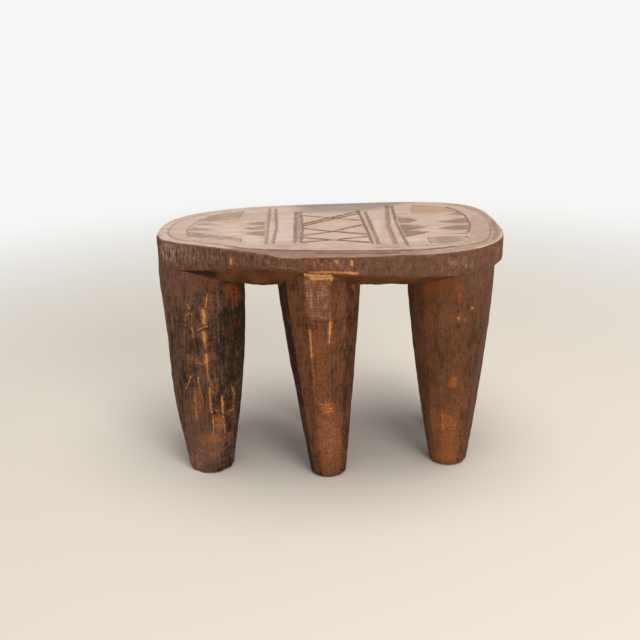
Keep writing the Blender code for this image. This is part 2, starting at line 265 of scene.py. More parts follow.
def table_value(table, angles):
    """Read a table of degrees round the seat and values there, at some angles."""
    return np.interp(np.degrees(angles), *zip(*table), period=360.0)


def ramp(values, low, high):
    """0 below low, 1 above high and a soft rise between."""
    share = np.clip((values - low) / (high - low), 0.0, 1.0)
    return share * share * (3.0 - 2.0 * share)


def segment_distance(points, start, end):
    run = end - start
    along = np.clip((points - start) @ run / (run @ run), 0.0, 1.0)
    return np.linalg.norm(points - start - along[:, None] * run, axis=1)


def line_distance(points, line):
    """How far each point lies from a line of several straight runs."""
    runs = [segment_distance(points, a, b) for a, b in zip(line, line[1:])]
    return np.min(runs, axis=0)


def inside_distance(points, corners):
    """How far inside a polygon each point lies, negative outside."""
    inside = np.zeros(len(points), bool)
    for a, b in zip(corners, np.roll(corners, -1, axis=0)):
        spans = (a[1] > points[:, 1]) != (b[1] > points[:, 1])
        rise = b[1] - a[1] if b[1] != a[1] else 1.0
        crossing = a[0] + (points[:, 1] - a[1]) / rise * (b[0] - a[0])
        inside ^= spans & (points[:, 0] < crossing)
    edge = line_distance(points, np.vstack((corners, corners[:1])))
    return np.where(inside, edge, -edge)


def read_points(bm):
    return np.array([vert.co for vert in bm.verts])


def write_points(bm, points):
    for vert, point in zip(bm.verts, points.tolist()):
        vert.co = point


def refine(bm, near):
    """Halve every edge that has an end where near is true."""
    bm.verts.index_update()
    edges = [edge for edge in bm.edges if near[edge.verts[0].index] or near[edge.verts[1].index]]
    bmesh.ops.subdivide_edges(bm, edges=edges, cuts=1, use_grid_fill=True)


def extrude_ring(bm, ring):
    """Grow a new ring from a ring of edges, and return its edges and verts."""
    grown = bmesh.ops.extrude_edge_only(bm, edges=ring)["geom"]
    verts = [item for item in grown if isinstance(item, bmesh.types.BMVert)]
    edges = [item for item in grown if isinstance(item, bmesh.types.BMEdge)]
    fresh = set(verts)
    return [edge for edge in edges if fresh.issuperset(edge.verts)], verts


def face_outwards(bm):
    """Turn every face of a closed skin outwards."""
    bmesh.ops.recalc_face_normals(bm, faces=bm.faces[:])
    if bm.calc_volume(signed=True) < 0.0:
        bmesh.ops.reverse_faces(bm, faces=bm.faces[:])


print("noise at the middle of the seat:", round(float(lumps(np.array([[0.0, 0.0, TOP]]), 0.02)[0]), 3))


# %% Helpers for finished meshes
def read_vectors(items, field):
    flat = np.empty(len(items) * 3, np.float32)
    items.foreach_get(field, flat)
    return flat.reshape(-1, 3).astype(float)


def points_and_normals(mesh):
    """Every vertex of a mesh, and the way its surface faces there."""
    return read_vectors(mesh.vertices, "co"), read_vectors(mesh.vertex_normals, "vector")


def read_attribute(mesh, name):
    values = np.empty(len(mesh.vertices), np.float32)
    mesh.attributes[name].data.foreach_get("value", values)
    return values.astype(float)


def add_attributes(mesh, attributes):
    """Keep named values on the vertices, for the finish to read."""
    for name, values in attributes.items():
        attribute = mesh.attributes.get(name) or mesh.attributes.new(name, 'FLOAT', 'POINT')
        attribute.data.foreach_set("value", values.astype(np.float32))


def finish_piece(name, bm):
    mesh = bpy.data.meshes.new(name)
    bm.to_mesh(mesh)
    bm.free()
    mesh.shade_smooth()
    item = bpy.data.objects.new(name, mesh)
    scene.collection.objects.link(item)
    return item


def move_points(mesh, points):
    mesh.vertices.foreach_set("co", points.astype(np.float32).ravel())
    mesh.update()
    triangles = sum(len(face.vertices) - 2 for face in mesh.polygons)
    print(mesh.name, "has", triangles, "triangles")


print("mesh helpers ready")

# %% [markdown]
# ## The seat's outline
# The seat is an oblong with uneven corners and one corner trimmed flat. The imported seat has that
# outline already, so we read it instead of drawing it again: the outline bulges everywhere, so
# the convex hull of the seat's plan is the outline itself. Kept as a reach for every direction,
# it answers how far the wood goes at any angle.

# %% Read the outline
seat_plan = [vert.co.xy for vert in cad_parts["seat"].data.vertices]
hull = [seat_plan[i] for i in geometry.convex_hull_2d(seat_plan)]
hull.sort(key=lambda spot: math.atan2(spot.y, spot.x))
hull_angles = np.array([math.atan2(spot.y, spot.x) for spot in hull])
hull_reach = np.array([spot.length for spot in hull])
HALF_LENGTH = (seat_high.x - seat_low.x) / 2
HALF_WIDTH = (seat_high.y - seat_low.y) / 2
OUTLINE_SAMPLES = 720


def outline_reach(angles):
    return np.interp(angles, hull_angles, hull_reach, period=math.tau)


def outline_points(angles, inset=0.0):
    reach = outline_reach(angles) - inset
    return np.stack((reach * np.cos(angles), reach * np.sin(angles)), axis=-1)


edge_tree = kdtree.KDTree(OUTLINE_SAMPLES)
for i, spot in enumerate(outline_points(np.linspace(0.0, math.tau, OUTLINE_SAMPLES, endpoint=False))):
    edge_tree.insert((*spot, 0.0), i)
edge_tree.balance()


def edge_distance(plan):
    """How far each plan point lies from the seat's edge."""
    return np.array([edge_tree.find((x, y, 0.0))[2] for x, y in plan.tolist()])


print("outline of", len(hull), "points:", round(2 * HALF_LENGTH, 3), "x", round(2 * HALF_WIDTH, 3), "m")

# %% [markdown]
# ## The rim's lower edge
# The rim is thin beside the front leg and tall at the ends, as the adze left it. Its lower edge
# shows along the whole front, so we read that line off the picture and turn each pixel into a
# height under the top. The back can't be seen, so three plain heights close the line there.

# %% Read the rim's height
RIM_BOTTOM = [
    (159, 262), (165, 266), (178, 269), (200, 268.5), (231, 265.2), (264, 266), (302, 270.4),
    (340, 272.2), (357, 274.6), (394, 275.6), (433, 275.8), (457, 275.2), (473, 274), (482, 271),
    (491, 267.6), (499, 262),
]
BACK_RIM = [(35.0, 0.0245), (90.0, 0.0210), (150.0, 0.0245)]
FRONT_STEPS = 361


def read_rim():
    """Angles round the seat with the rim's height there."""
    angles = np.linspace(-math.pi, 0.0, FRONT_STEPS)
    ring = outline_points(angles)
    upper = to_pixels(np.column_stack((ring, np.full(FRONT_STEPS, TOP))))
    lower = to_pixels(np.column_stack((ring, np.full(FRONT_STEPS, UNDERSIDE))))
    rows = [(math.radians(angle), height) for angle, height in BACK_RIM]
    for across, down in RIM_BOTTOM:
        i = int(np.argmin(np.abs((upper[:, 0] + lower[:, 0]) / 2 - across)))
        share = (down - upper[i, 1]) / (lower[i, 1] - upper[i, 1])
        rows.append((angles[i], share * (TOP - UNDERSIDE)))
    return np.array(sorted(rows))


rim_rows = read_rim()


def rim_height(angles):
    return np.interp(angles, rim_rows[:, 0], rim_rows[:, 1], period=math.tau)


print("rim from", round(rim_rows[:, 1].min(), 4), "to", round(rim_rows[:, 1].max(), 4), "m tall")

# %% [markdown]
# ## The carved pattern
# The top has a border groove, four bands of paired grooves, crosses between the middle bands, and
# in each end a field of opposing chips between flat recesses. The lines below were read off the
# photograph as pixels, and the camera carries them to the top. Each kind of cut has a width and a
# depth in metres, as the knife had, and a share of darkness, dirt and painted shade together, since
# old cuts aren't all equally dark. A chip is listed from its point, then round its belly and base.

# %% Grooves, chips and recesses
CUT_DEPTH = 0.0016
BORDER_WIDTH = ((-180, 0.0030), (-150, 0.0044), (-120, 0.0066), (-45, 0.0066), (-20, 0.0036), (90, 0.0044))
# How dark each cut is painted: dirt and painted shade together.
BORDER_DARK = (
    (-180, 0.55), (-160, 0.7), (-135, 1.2), (-50, 1.3), (-28, 0.9), (-12, 0.5), (30, 0.5), (90, 0.6),
)
BORDER_DEPTH = 0.7 * CUT_DEPTH
BACK_BORDER_INSET = 0.0115
BACK_BORDER_FROM_TO = (24.0, 172.0)
BACK_BORDER_STEPS = 60
END_LINE_INSET = 0.0062
END_LINE_WIDTH = 0.0085
END_LINE_DARK = 0.55
END_LINE_DEPTH = 0.6 * CUT_DEPTH
END_LINE_FROM_TO = (0.135, 0.16)
BAND_WIDTH = (0.0054, 0.0050, 0.0046, 0.0046, 0.0046, 0.0058, 0.0074, 0.0050)
BAND_DARK = (0.55, 0.65, 0.6, 0.6, 0.85, 0.75, 0.65, 0.75)
STROKE_WIDTH = 0.0064
STROKE_DARK = (1.1, 1.3, 1.2, 1.25, 1.2, 1.25, 1.1, 0.4, 0.5, 1.0)
ARC_WIDTH = 0.0040
ARC_DARK = (0.5, 0.8, 0.6)
CHIP_DEPTH = 0.0022
CHIP_DARK = (0.7, 0.7, 0.75, 0.5, 0.6, 0.85, 0.95, 1.0, 0.85, 0.9, 0.9, 0.7)
RECESS_DEPTH = 0.0011
RECESS_DARK = (0.24, 0.30, 0.16, 0.36)

BORDER = [
    (167.4, 231.5), (168.6, 234.6), (171.6, 236.6), (177.4, 239.0), (188.2, 240.6), (201.4, 242.0),
    (213.0, 243.6), (225.5, 245.3), (242.1, 247.6), (262.8, 249.2), (289.3, 250.0), (323.7, 250.7),
    (351.3, 250.6), (374.2, 250.2), (404.0, 249.8), (428.3, 249.0), (443.6, 247.4), (458.9, 245.5),
    (474.2, 243.6), (481.8, 241.7), (488.4, 239.0), (490.2, 231.7), (489.9, 225.1), (487.2, 219.0),
    (480.3, 213.6), (472.6, 210.5),
]
BANDS = [
    [(269.5, 208.7), (265.7, 243.5)],
    [(275.6, 208.5), (276.5, 226.8), (272.6, 243.5)],
    [(295.4, 211.6), (294.0, 242.4)],
    [(300.4, 211.6), (302.4, 228.0), (301.1, 242.4)],
    [(358.4, 211.3), (372.6, 243.2)],
    [(364.9, 211.3), (378.4, 243.6)],
    [(386.5, 204.9), (387.9, 225.5), (395.4, 243.3)],
    [(391.4, 205.8), (395.9, 221.9), (407.5, 245.1)],
]
STROKES = [
    [(301.0, 215.1), (358.6, 220.0)],
    [(303.5, 223.9), (357.8, 211.1)],
    [(303.9, 225.6), (358.2, 213.0)],
    [(303.1, 228.3), (366.9, 234.1)],
    [(303.5, 235.0), (327.1, 232.1), (361.1, 225.0)],
    [(303.1, 237.5), (368.6, 242.0)],
    [(302.3, 242.4), (367.8, 236.2)],
    [(301.0, 212.0), (357.0, 211.4)],
    [(373.4, 247.4), (397.0, 247.0)],
    [(318.0, 252.8), (345.0, 253.2), (380.0, 252.6), (398.0, 251.9)],
]
ARCS = [
    [(201.6, 218.2), (197.7, 220.9), (191.5, 224.8), (187.2, 229.5), (187.2, 232.6), (188.7, 236.1)],
    [(446.0, 206.6), (455.7, 209.8), (464.6, 214.7), (469.1, 221.9), (469.6, 228.1), (466.4, 233.5)],
    [(427.4, 236.8), (429.4, 240.0), (432.2, 243.2)],
]
CHIPS = [
    [(241.3, 223.3), (252.0, 221.8), (265.0, 221.0), (265.0, 225.6), (252.0, 224.9)],
    [(240.5, 228.3), (252.0, 226.6), (265.0, 225.8), (265.0, 230.0), (252.0, 229.7)],
    [(240.0, 233.2), (252.0, 231.2), (265.0, 230.2), (264.8, 236.4), (252.0, 234.8)],
    [(225.2, 225.8), (199.0, 221.3), (193.8, 225.2)],
    [(221.5, 230.4), (192.8, 226.2), (188.4, 230.6)],
    [(419.4, 220.0), (408.0, 217.2), (396.4, 216.4), (398.6, 223.4), (409.0, 222.6)],
    [(428.2, 226.4), (414.0, 223.8), (399.0, 223.4), (402.4, 231.0), (416.0, 229.3)],
    [(432.0, 231.2), (418.0, 230.0), (402.6, 230.4), (406.0, 236.8), (418.0, 234.7)],
    [(440.5, 214.2), (458.0, 211.0), (465.0, 215.4)],
    [(432.8, 221.4), (448.0, 218.8), (466.0, 217.0), (469.3, 223.0), (450.0, 223.0)],
    [(431.8, 228.0), (448.0, 225.4), (469.5, 224.2), (469.3, 230.2), (450.0, 230.0)],
    [(432.0, 234.4), (468.5, 231.0), (466.0, 234.2)],
]
RECESSES = [
    [(198.4, 221.1), (210.8, 221.6), (240.5, 217.9), (245.3, 209.6), (208.9, 214.9)],
    [(188.0, 231.2), (242.0, 238.0), (241.3, 241.9), (189.5, 236.4)],
    [(411.0, 204.5), (411.5, 213.0), (441.4, 213.0), (459.3, 211.2), (452.0, 207.4)],
    [(427.2, 236.6), (432.0, 243.6), (452.0, 242.4), (471.0, 238.4), (466.4, 234.8), (450.0, 235.2)],
]
GREY_BACK = [
    (296.0, 204.6), (300.0, 211.4), (357.0, 211.0), (386.0, 207.6), (403.0, 203.4), (402.0, 200.5),
]
STIPPLED = [(295.4, 211.6), (294.0, 242.4), (301.1, 242.4), (302.4, 228.0), (300.4, 211.6)]
TAN_RECESS = RECESSES[2]

back_angles = np.radians(np.linspace(*BACK_BORDER_FROM_TO, BACK_BORDER_STEPS))
border = np.vstack((on_top(BORDER), outline_points(back_angles, BACK_BORDER_INSET)))
border_line = np.vstack((border, border[:1]))
bands = [on_top(line) for line in BANDS]
strokes = [on_top(line) for line in STROKES]
arcs = [on_top(line) for line in ARCS]
chips = [on_top(corners) for corners in CHIPS]
recesses = [on_top(corners) for corners in RECESSES]
print(len(bands) + len(strokes) + len(arcs), "grooves,", len(chips), "chips and", len(recesses), "recesses")

# %% [markdown]
# ## The seat's mesh
# One plain grid makes the top: stretched to the outline, it keeps its rows straight in the middle
# where the carving is. Near a cut its edges are halved twice, so the fine cells lie only where a
# knife went. The rim, the slope below it and the underside then grow from the grid's own border
# by extruding that ring of edges again and again, which keeps the whole seat one closed skin.

# %% Grid, fine cells, rim and underside
TOP_CELL = 0.0027
RIM_ROUND = 0.0014
ROUND_ROWS = 3
RIM_ROWS = 14
SLOPE_ROWS = 6
SLOPE_RUN = ((-180, 0.018), (-165, 0.013), (-145, 0.013), (-120, 0.025), (-90, 0.026), (160, 0.026))
UNDER_ROWS = 6
UNDER_CORE = 0.3
NEAR_CUT = 0.0046
CLOSE_TO_CUT = 0.0027


def stretch_to_outline(grid):
    """Carry the square grid to the outline, a little inside for the rounded edge."""
    x = grid[:, 0] * HALF_LENGTH
    y = grid[:, 1] * HALF_WIDTH
    out = np.maximum(np.abs(grid[:, 0]), np.abs(grid[:, 1]))
    border_reach = np.hypot(x, y) / np.maximum(out, 1e-6)
    wanted = outline_reach(np.arctan2(y, x)) - RIM_ROUND
    factor = 1.0 + (wanted / np.maximum(border_reach, 1e-6) - 1.0) * out
    return np.stack((x * factor, y * factor, np.full(len(x), TOP)), axis=1)


def cut_distance(plan):
    """How far each plan point lies from the nearest edge of a cut."""
    nearest = line_distance(plan, border_line)
    for line in bands + strokes + arcs:
        nearest = np.minimum(nearest, line_distance(plan, line))
    for corners in chips + recesses:
        nearest = np.minimum(nearest, np.abs(inside_distance(plan, corners)))
    return nearest


def in_chip(plan):
    return np.max([inside_distance(plan, corners) for corners in chips], axis=0) > 0.0


def rim_rings():
    """For each further ring: its inset, share of the rim and of the slope passed, drop, and kind."""
    for step in range(1, ROUND_ROWS + 1):
        turn = 0.5 * math.pi * step / ROUND_ROWS
        inset, drop = RIM_ROUND * (1.0 - math.sin(turn)), RIM_ROUND * (1.0 - math.cos(turn))
        yield inset, 0.0, 0.0, drop, 0.5 * step / ROUND_ROWS
    for step in range(1, RIM_ROWS + 1):
        yield 0.0, step / RIM_ROWS, 0.0, RIM_ROUND, 1.0
    for step in range(1, SLOPE_ROWS + 1):
        yield 0.0, 1.0, step / SLOPE_ROWS, RIM_ROUND, 1.0 + step / SLOPE_ROWS


def ring_point(angle, inset, passed, slope, drop):
    """A point of such a ring in one direction from the middle of the seat."""
    bottom = TOP - float(rim_height(angle))
    height = (TOP - drop) * (1.0 - passed) + bottom * passed
    inset += slope * table_value(SLOPE_RUN, angle)
    return (*outline_points(angle, inset), height * (1.0 - slope) + UNDERSIDE * slope)


def build_seat():
    bm = bmesh.new()
    columns = round(2 * HALF_LENGTH / TOP_CELL)
    rows = round(2 * HALF_WIDTH / TOP_CELL)
    bmesh.ops.create_grid(bm, x_segments=columns, y_segments=rows, size=1.0)
    write_points(bm, stretch_to_outline(read_points(bm)))
    plan = read_points(bm)[:, :2]
    refine(bm, (cut_distance(plan) < NEAR_CUT) | in_chip(plan))
    refine(bm, cut_distance(read_points(bm)[:, :2]) < CLOSE_TO_CUT)
    rim = bm.verts.layers.float.new("rim")
    ring = [edge for edge in bm.edges if edge.is_boundary]
    for inset, passed, slope, drop, kind in rim_rings():
        ring, verts = extrude_ring(bm, ring)
        for vert in verts:
            vert.co = ring_point(math.atan2(vert.co.y, vert.co.x), inset, passed, slope, drop)
            vert[rim] = kind
    for step in range(UNDER_ROWS):
        ring, verts = extrude_ring(bm, ring)
        width = 1.0 - (1.0 - UNDER_CORE) * step / UNDER_ROWS
        shrink = (width - (1.0 - UNDER_CORE) / UNDER_ROWS) / width
        bmesh.ops.scale(bm, verts=verts, vec=(shrink, shrink, 1.0))
        for vert in verts:
            vert[rim] = 2.0
    bmesh.ops.contextual_create(bm, geom=ring)
    face_outwards(bm)
    return bm


seat_bm = build_seat()
print("seat skin:", len(seat_bm.verts), "verts,", len(seat_bm.faces), "faces")

# %% [markdown]
# ## Marks and patches
# Knocks, splits and bare slivers show on the front of the stool. A mark is a line in the picture
# with a width in pixels, a depth in metres and a share of bare wood. A patch is an oval of dust,
# soot, rust, rubbed wood, pale wood, brown wood, painted shade, painted light or a painted
# highlight, and an area is the same with corners. A vertex takes each where the camera sees it
# there. The mesh is halved along marks first, so a split is a real cut and not only paint. On the
# sides that the photograph hides, patches come from noise, so that every side has its share of wear.

# %% How marks and patches reach the wood
Mark = namedtuple("Mark", "line width depth bare")
Patch = namedtuple("Patch", "across down half_width half_height share")
Area = namedtuple("Area", "corners share")
FACING_EDGE = (0.0, 0.15)
WANDER_SEED = 40.0
MARK_WOBBLE = 0.7
MARK_WOBBLE_SIZE = 0.0035
MARK_SWELLS = (Swell(0.5, 0.009, 60.0), Swell(0.5, 0.0035, 63.0))
MARK_THINNEST = 0.2
MARK_EDGE = (0.2, 0.62)
HALO_SHARE = 0.7
HALO_EDGE = (0.4, 2.4)
PATCH_WOBBLE = 2.2
PATCH_WOBBLE_SIZE = 0.007
AREA_EDGE = (-1.2, 1.6)
OVAL_EDGE = (0.3, 1.25)
UNSEEN_SIZE = (0.03, 0.03, 0.05)
UNSEEN_EDGE = (-0.1, 0.5)


def facing_share(points, normals):
    """1 where the surface faces the camera, fading to 0 at its outline."""
    sight = np.array(CAMERA_PLACE) - points
    sight /= np.linalg.norm(sight, axis=1)[:, None]
    return ramp(np.einsum("ij,ij->i", sight, normals), *FACING_EDGE)


def mark_distance(points, normals, marks):
    """The pixel distance of each point from the edge of the nearest mark."""
    nearest = np.full(len(points), np.inf)
    pixels = to_pixels(points)
    for mark in marks:
        nearest = np.minimum(nearest, line_distance(pixels, np.array(mark.line)) - mark.width / 2)
    return np.where(facing_share(points, normals) > 0.0, nearest, np.inf)


def refine_marks(bm, marks, reach, rounds):
    for _ in range(rounds):
        bm.normal_update()
        normals = np.array([vert.normal for vert in bm.verts])
        refine(bm, mark_distance(read_points(bm), normals, marks) < reach)


def apply_marks(points, normals, marks):
    """The depth of cut, the share of bare wood and the rubbed halo that the marks leave."""
    depth = np.zeros(len(points))
    bare = np.zeros(len(points))
    halo = np.zeros(len(points))
    pixels = to_pixels(points) + MARK_WOBBLE * wander(points, MARK_WOBBLE_SIZE, WANDER_SEED)
    facing = facing_share(points, normals)
    swell = np.maximum(1.0 + swells(points, MARK_SWELLS), MARK_THINNEST)
    for mark in marks:
        away = line_distance(pixels, np.array(mark.line)) / (mark.width * swell)
        share = (1.0 - ramp(away, *MARK_EDGE)) * facing
        around = HALO_SHARE * (1.0 - ramp(away, *HALO_EDGE)) * facing
        depth = np.maximum(depth, mark.depth * share)
        bare = np.maximum(bare, mark.bare * share)
        halo = np.maximum(halo, mark.bare * around)
    return depth, bare, halo


def patch_share(points, normals, patches, hidden=0.0, seed=0.0):
    """The share of the patches at each point, and of noise patches on the hidden sides."""
    pixels = to_pixels(points) + PATCH_WOBBLE * wander(points, PATCH_WOBBLE_SIZE, WANDER_SEED)
    shown = np.zeros(len(points))
    for patch in patches:
        if isinstance(patch, Area):
            cover = ramp(inside_distance(pixels, np.array(patch.corners)), *AREA_EDGE)
        else:
            across = (pixels[:, 0] - patch.across) / patch.half_width
            down = (pixels[:, 1] - patch.down) / patch.half_height
            cover = 1.0 - ramp(np.hypot(across, down), *OVAL_EDGE)
        shown = np.maximum(shown, patch.share * cover)
    unseen = hidden * ramp(lumps(points, UNSEEN_SIZE, seed), *UNSEEN_EDGE)
    facing = facing_share(points, normals)
    return shown * facing + unseen * (1.0 - facing)


print("a mark is", ", ".join(Mark._fields), "and a patch is", ", ".join(Patch._fields))

# %% Wear on the rim and the top
RIM_MARKS = [
    Mark([(231.0, 259.4), (231.2, 263.6)], 2.6, 0.0010, 1.0),
    Mark([(314.3, 262.0), (314.8, 268.6)], 2.4, 0.0004, 0.6),
    Mark([(321.8, 264.0), (322.4, 268.2)], 2.6, 0.0004, 0.6),
    Mark([(335.6, 260.6), (337.6, 261.6)], 4.6, 0.0004, 0.8),
    Mark([(343.6, 260.0), (343.8, 264.4)], 2.2, 0.0003, 0.55),
    Mark([(352.0, 260.2), (352.3, 264.0)], 3.8, 0.0004, 0.85),
    Mark([(331.0, 266.6), (333.6, 270.6)], 2.6, 0.0003, 0.55),
    Mark([(334.0, 273.0), (345.0, 272.8), (356.8, 273.4)], 3.2, 0.0004, 0.95),
    Mark([(310.0, 272.4), (322.0, 272.8), (334.0, 272.4)], 3.6, 0.0003, 0.85),
    Mark([(283.0, 257.2), (290.0, 258.0), (300.0, 257.4)], 1.6, 0.0002, 0.5),
    Mark([(311.0, 257.0), (313.0, 260.0)], 1.8, 0.0002, 0.45),
    Mark([(267.0, 261.4), (271.0, 262.8)], 3.0, 0.0003, 0.5),
    Mark([(270.0, 266.0), (285.0, 267.4), (297.0, 269.0)], 1.8, 0.0003, 0.45),
    Mark([(430.0, 254.8), (433.4, 254.4)], 1.6, 0.0003, 0.7),
]
RIM_DUST_PATCHES = [
    Patch(168, 252, 15, 17, 0.95), Patch(188, 254, 20, 13, 0.75), Patch(215, 258, 24, 9, 0.55),
    Patch(250, 258, 22, 7, 0.35), Patch(413, 266, 20, 8, 0.35), Patch(462, 262, 24, 10, 0.6),
    Patch(497, 246, 6, 16, 0.5),
]
RIM_RUB_PATCHES = [
    Patch(325, 265, 42, 9, 0.6), Patch(283, 264, 20, 6, 0.45), Patch(372, 262, 16, 6, 0.3),
    Patch(382, 270, 16, 4, 0.3),
]
# Pale wood on the top; Patch(166, 236) at the left corner is a painted highlight on its edge.
PALE_AND_HIGHLIGHT_PATCHES = [
    Patch(252, 240, 12, 6, 0.9), Patch(284, 231, 11, 14, 0.9), Patch(270, 230, 5, 16, 0.7),
    Area([(205.0, 224.0), (226.0, 222.6), (246.0, 219.4), (262.0, 219.8), (241.0, 224.0), (240.0, 236.0),
          (226.0, 235.0), (220.0, 231.4), (192.0, 229.8)], 0.85),
    Area([(277.0, 212.0), (294.0, 212.5), (293.0, 242.0), (274.0, 242.0)], 0.8),
    Patch(415, 238, 10, 6, 0.9), Patch(182, 228, 10, 12, 0.4),
    Patch(377, 228, 6, 16, 0.95), Patch(336, 224, 12, 4, 0.45), Patch(255, 213, 10, 5, 0.5),
    Patch(166, 236, 6, 4, 0.8), Patch(336, 237, 14, 3, 0.5),
]
# Brown patches of the top with painted shade in its recesses, and a painted shadow on the underside under
# the rim at the left front.
PAINTED_SHADE_AND_BROWN_PATCHES = [
    Area([(470.0, 212.0), (488.0, 219.0), (491.0, 231.0), (488.0, 240.0), (462.0, 245.0), (430.0, 248.0),
          (432.0, 244.0), (468.0, 238.0)], 0.65),
    Patch(458, 222, 16, 13, 0.5), Patch(406, 226, 12, 11, 0.45),
    Area([(262.0, 244.0), (300.0, 243.4), (400.0, 243.0), (440.0, 243.0), (440.0, 247.5), (404.0, 249.3),
          (323.0, 250.2), (289.0, 249.6), (262.0, 248.8)], 0.5),
    Area([(489.8, 214.0), (497.1, 221.2), (498.6, 232.7), (496.4, 238.8), (490.4, 240.4),
          (491.0, 228.0)], 1.0),
    Patch(448, 239, 24, 5, 0.75),
    Area([(244.0, 221.6), (265.0, 220.4), (265.0, 236.6), (248.0, 234.0)], 0.4),
    Area([(397.0, 217.0), (410.0, 218.0), (418.0, 226.0), (420.0, 232.0), (405.0, 236.0)], 0.35),
    Area([(188.5, 231.5), (226.0, 236.0), (241.0, 238.5), (241.0, 240.0), (222.0, 239.0),
          (192.0, 236.5)], 0.7),
    Area([(209.0, 215.0), (245.0, 209.8), (240.5, 217.9), (211.0, 221.4), (199.0, 220.8)], 0.65),
    Area([(176.0, 267.6), (206.0, 267.6), (219.0, 273.6), (214.0, 278.0), (186.0, 274.4)], 1.0),
]
print(len(RIM_MARKS), "marks on the rim")

# %% [markdown]
# ## Carving the seat
# With the mesh ready, the knife is a depth for every point of the top. Grooves are soft V cuts,
# chips are stabbed deepest at their point and rise towards their base, and recesses are shallow
# flats. The points are first shifted by a little noise, so no cut is ruler straight. The front
# edge was worn down by sitting, and at the left front the edge took the rim's dark colour. What
# the cuts and the wear leave is kept as named values on the vertices, for the finish to colour.

# %% Cut the top, wear the edges
HAND_WOBBLE = 0.0007
HAND_WOBBLE_SIZE = 0.011
HAND_WOBBLE_SEED = 9.0
GROOVE_SLOPE = (0.0, 0.5)
GROOVE_DARK = (0.22, 0.52)
WALL = 0.0011
CHIP_WALL = (-0.2 * WALL, WALL)
CHIP_RISE = 0.55
CHIP_FADE = 0.12
RECESS_WALL = (-0.3 * WALL, WALL)
RECESS_EDGE = (0.0, 0.003)
# Recesses are darker along their walls: painted shade with dirt.
RECESS_EDGE_DARK = 0.45
WEAR_FROM_TO = (0.001, 0.010)
EDGE_DROP = (
    (-180, 0.0), (-122, 0.0), (-112, 0.0006), (-100, 0.0), (-80, 0.0009), (-70, 0.0012), (-60, 0.0004),
    (-50, 0.0018), (-33, 0.0018), (-24, 0.0006), (-15, 0.0), (90, 0.0),
)
DARK_EDGE = (
    (-180, 0.0), (-172, 0.0035), (-150, 0.0065), (-132, 0.0065), (-118, 0.0), (90, 0.0), (172, 0.0),
)
DARK_EDGE_FADE = (0.5, 1.0)
STRIP_START = (-0.14, -0.08)
STRIP_THINS = (0.06, 0.10)
STRIP_THINNED = 0.4
STRIP_END = (0.14, 0.17)
STRIP_FRONT = (0.0, 0.05)
STRIP_EDGE = (-0.001, 0.001)


def groove(distance, width):
    """A soft V: its depth and how far its darkness of dirt and painted shade shows, both from 0 to 1."""
    share = distance / width
    return 1.0 - ramp(share, *GROOVE_SLOPE), 1.0 - ramp(share, *GROOVE_DARK)


def carve(plan, spread):
    """How deep the knife went at each plan point, and how dark the cut is there with dirt and painted
    shade.
    """
    angles = np.arctan2(plan[:, 1], plan[:, 0])
    shape, darkening = groove(line_distance(plan, border_line), table_value(BORDER_WIDTH, angles))
    depth = BORDER_DEPTH * shape
    dark = table_value(BORDER_DARK, angles) * darkening
    end = ramp(plan[:, 0], *END_LINE_FROM_TO)
    shape, darkening = groove(np.abs(spread - END_LINE_INSET), END_LINE_WIDTH)
    depth = np.maximum(depth, END_LINE_DEPTH * shape * end)
    dark = np.maximum(dark, END_LINE_DARK * darkening * end)
    cuts = list(zip(bands, BAND_WIDTH, BAND_DARK))
    cuts += [(line, ARC_WIDTH, darkest) for line, darkest in zip(arcs, ARC_DARK)]
    cuts += [(line, STROKE_WIDTH, darkest) for line, darkest in zip(strokes, STROKE_DARK)]
    for line, width, darkest in cuts:
        shape, darkening = groove(line_distance(plan, line), width)
        depth = np.maximum(depth, CUT_DEPTH * shape)
        dark = np.maximum(dark, darkest * darkening)
    for corners, darkest in zip(chips, CHIP_DARK):
        wall = ramp(inside_distance(plan, corners), *CHIP_WALL)
        point = corners[0]
        run = corners[1:].mean(axis=0) - point
        along = np.clip((plan - point) @ run / (run @ run), 0.0, 1.0)
        depth = np.maximum(depth, wall * CHIP_DEPTH * (1.0 - CHIP_RISE * along))
        dark = np.maximum(dark, wall * darkest * (1.0 - CHIP_FADE * along))
    for corners, darkest in zip(recesses, RECESS_DARK):
        inside = inside_distance(plan, corners)
        wall = ramp(inside, *RECESS_WALL)
        edge = 1.0 - ramp(inside, *RECESS_EDGE)
        depth = np.maximum(depth, wall * RECESS_DEPTH)
        dark = np.maximum(dark, wall * (darkest + RECESS_EDGE_DARK * edge))
    return depth, dark


def worn_edge(angles, spread):
    """How far the edge is worn down at each point, fading inwards."""
    return table_value(EDGE_DROP, angles) * (1.0 - ramp(spread, *WEAR_FROM_TO))


def dark_edge(angles, spread):
    """1 on the outer edge of the top where it took the rim's dark colour."""
    width = np.maximum(table_value(DARK_EDGE, angles), 1e-6)
    return 1.0 - ramp(spread / width, *DARK_EDGE_FADE)


def front_strip(plan):
    """1 on the strip between the border groove and the front edge, which is dull and grey."""
    along = ramp(plan[:, 0], *STRIP_START) * (1.0 - STRIP_THINNED * ramp(plan[:, 0], *STRIP_THINS))
    along *= 1.0 - ramp(plan[:, 0], *STRIP_END)
    return along * ramp(-plan[:, 1], *STRIP_FRONT) * ramp(-inside_distance(plan, border), *STRIP_EDGE)


print("chips", CHIP_DEPTH, "m deep, grooves", CUT_DEPTH, "m and recesses", RECESS_DEPTH, "m")

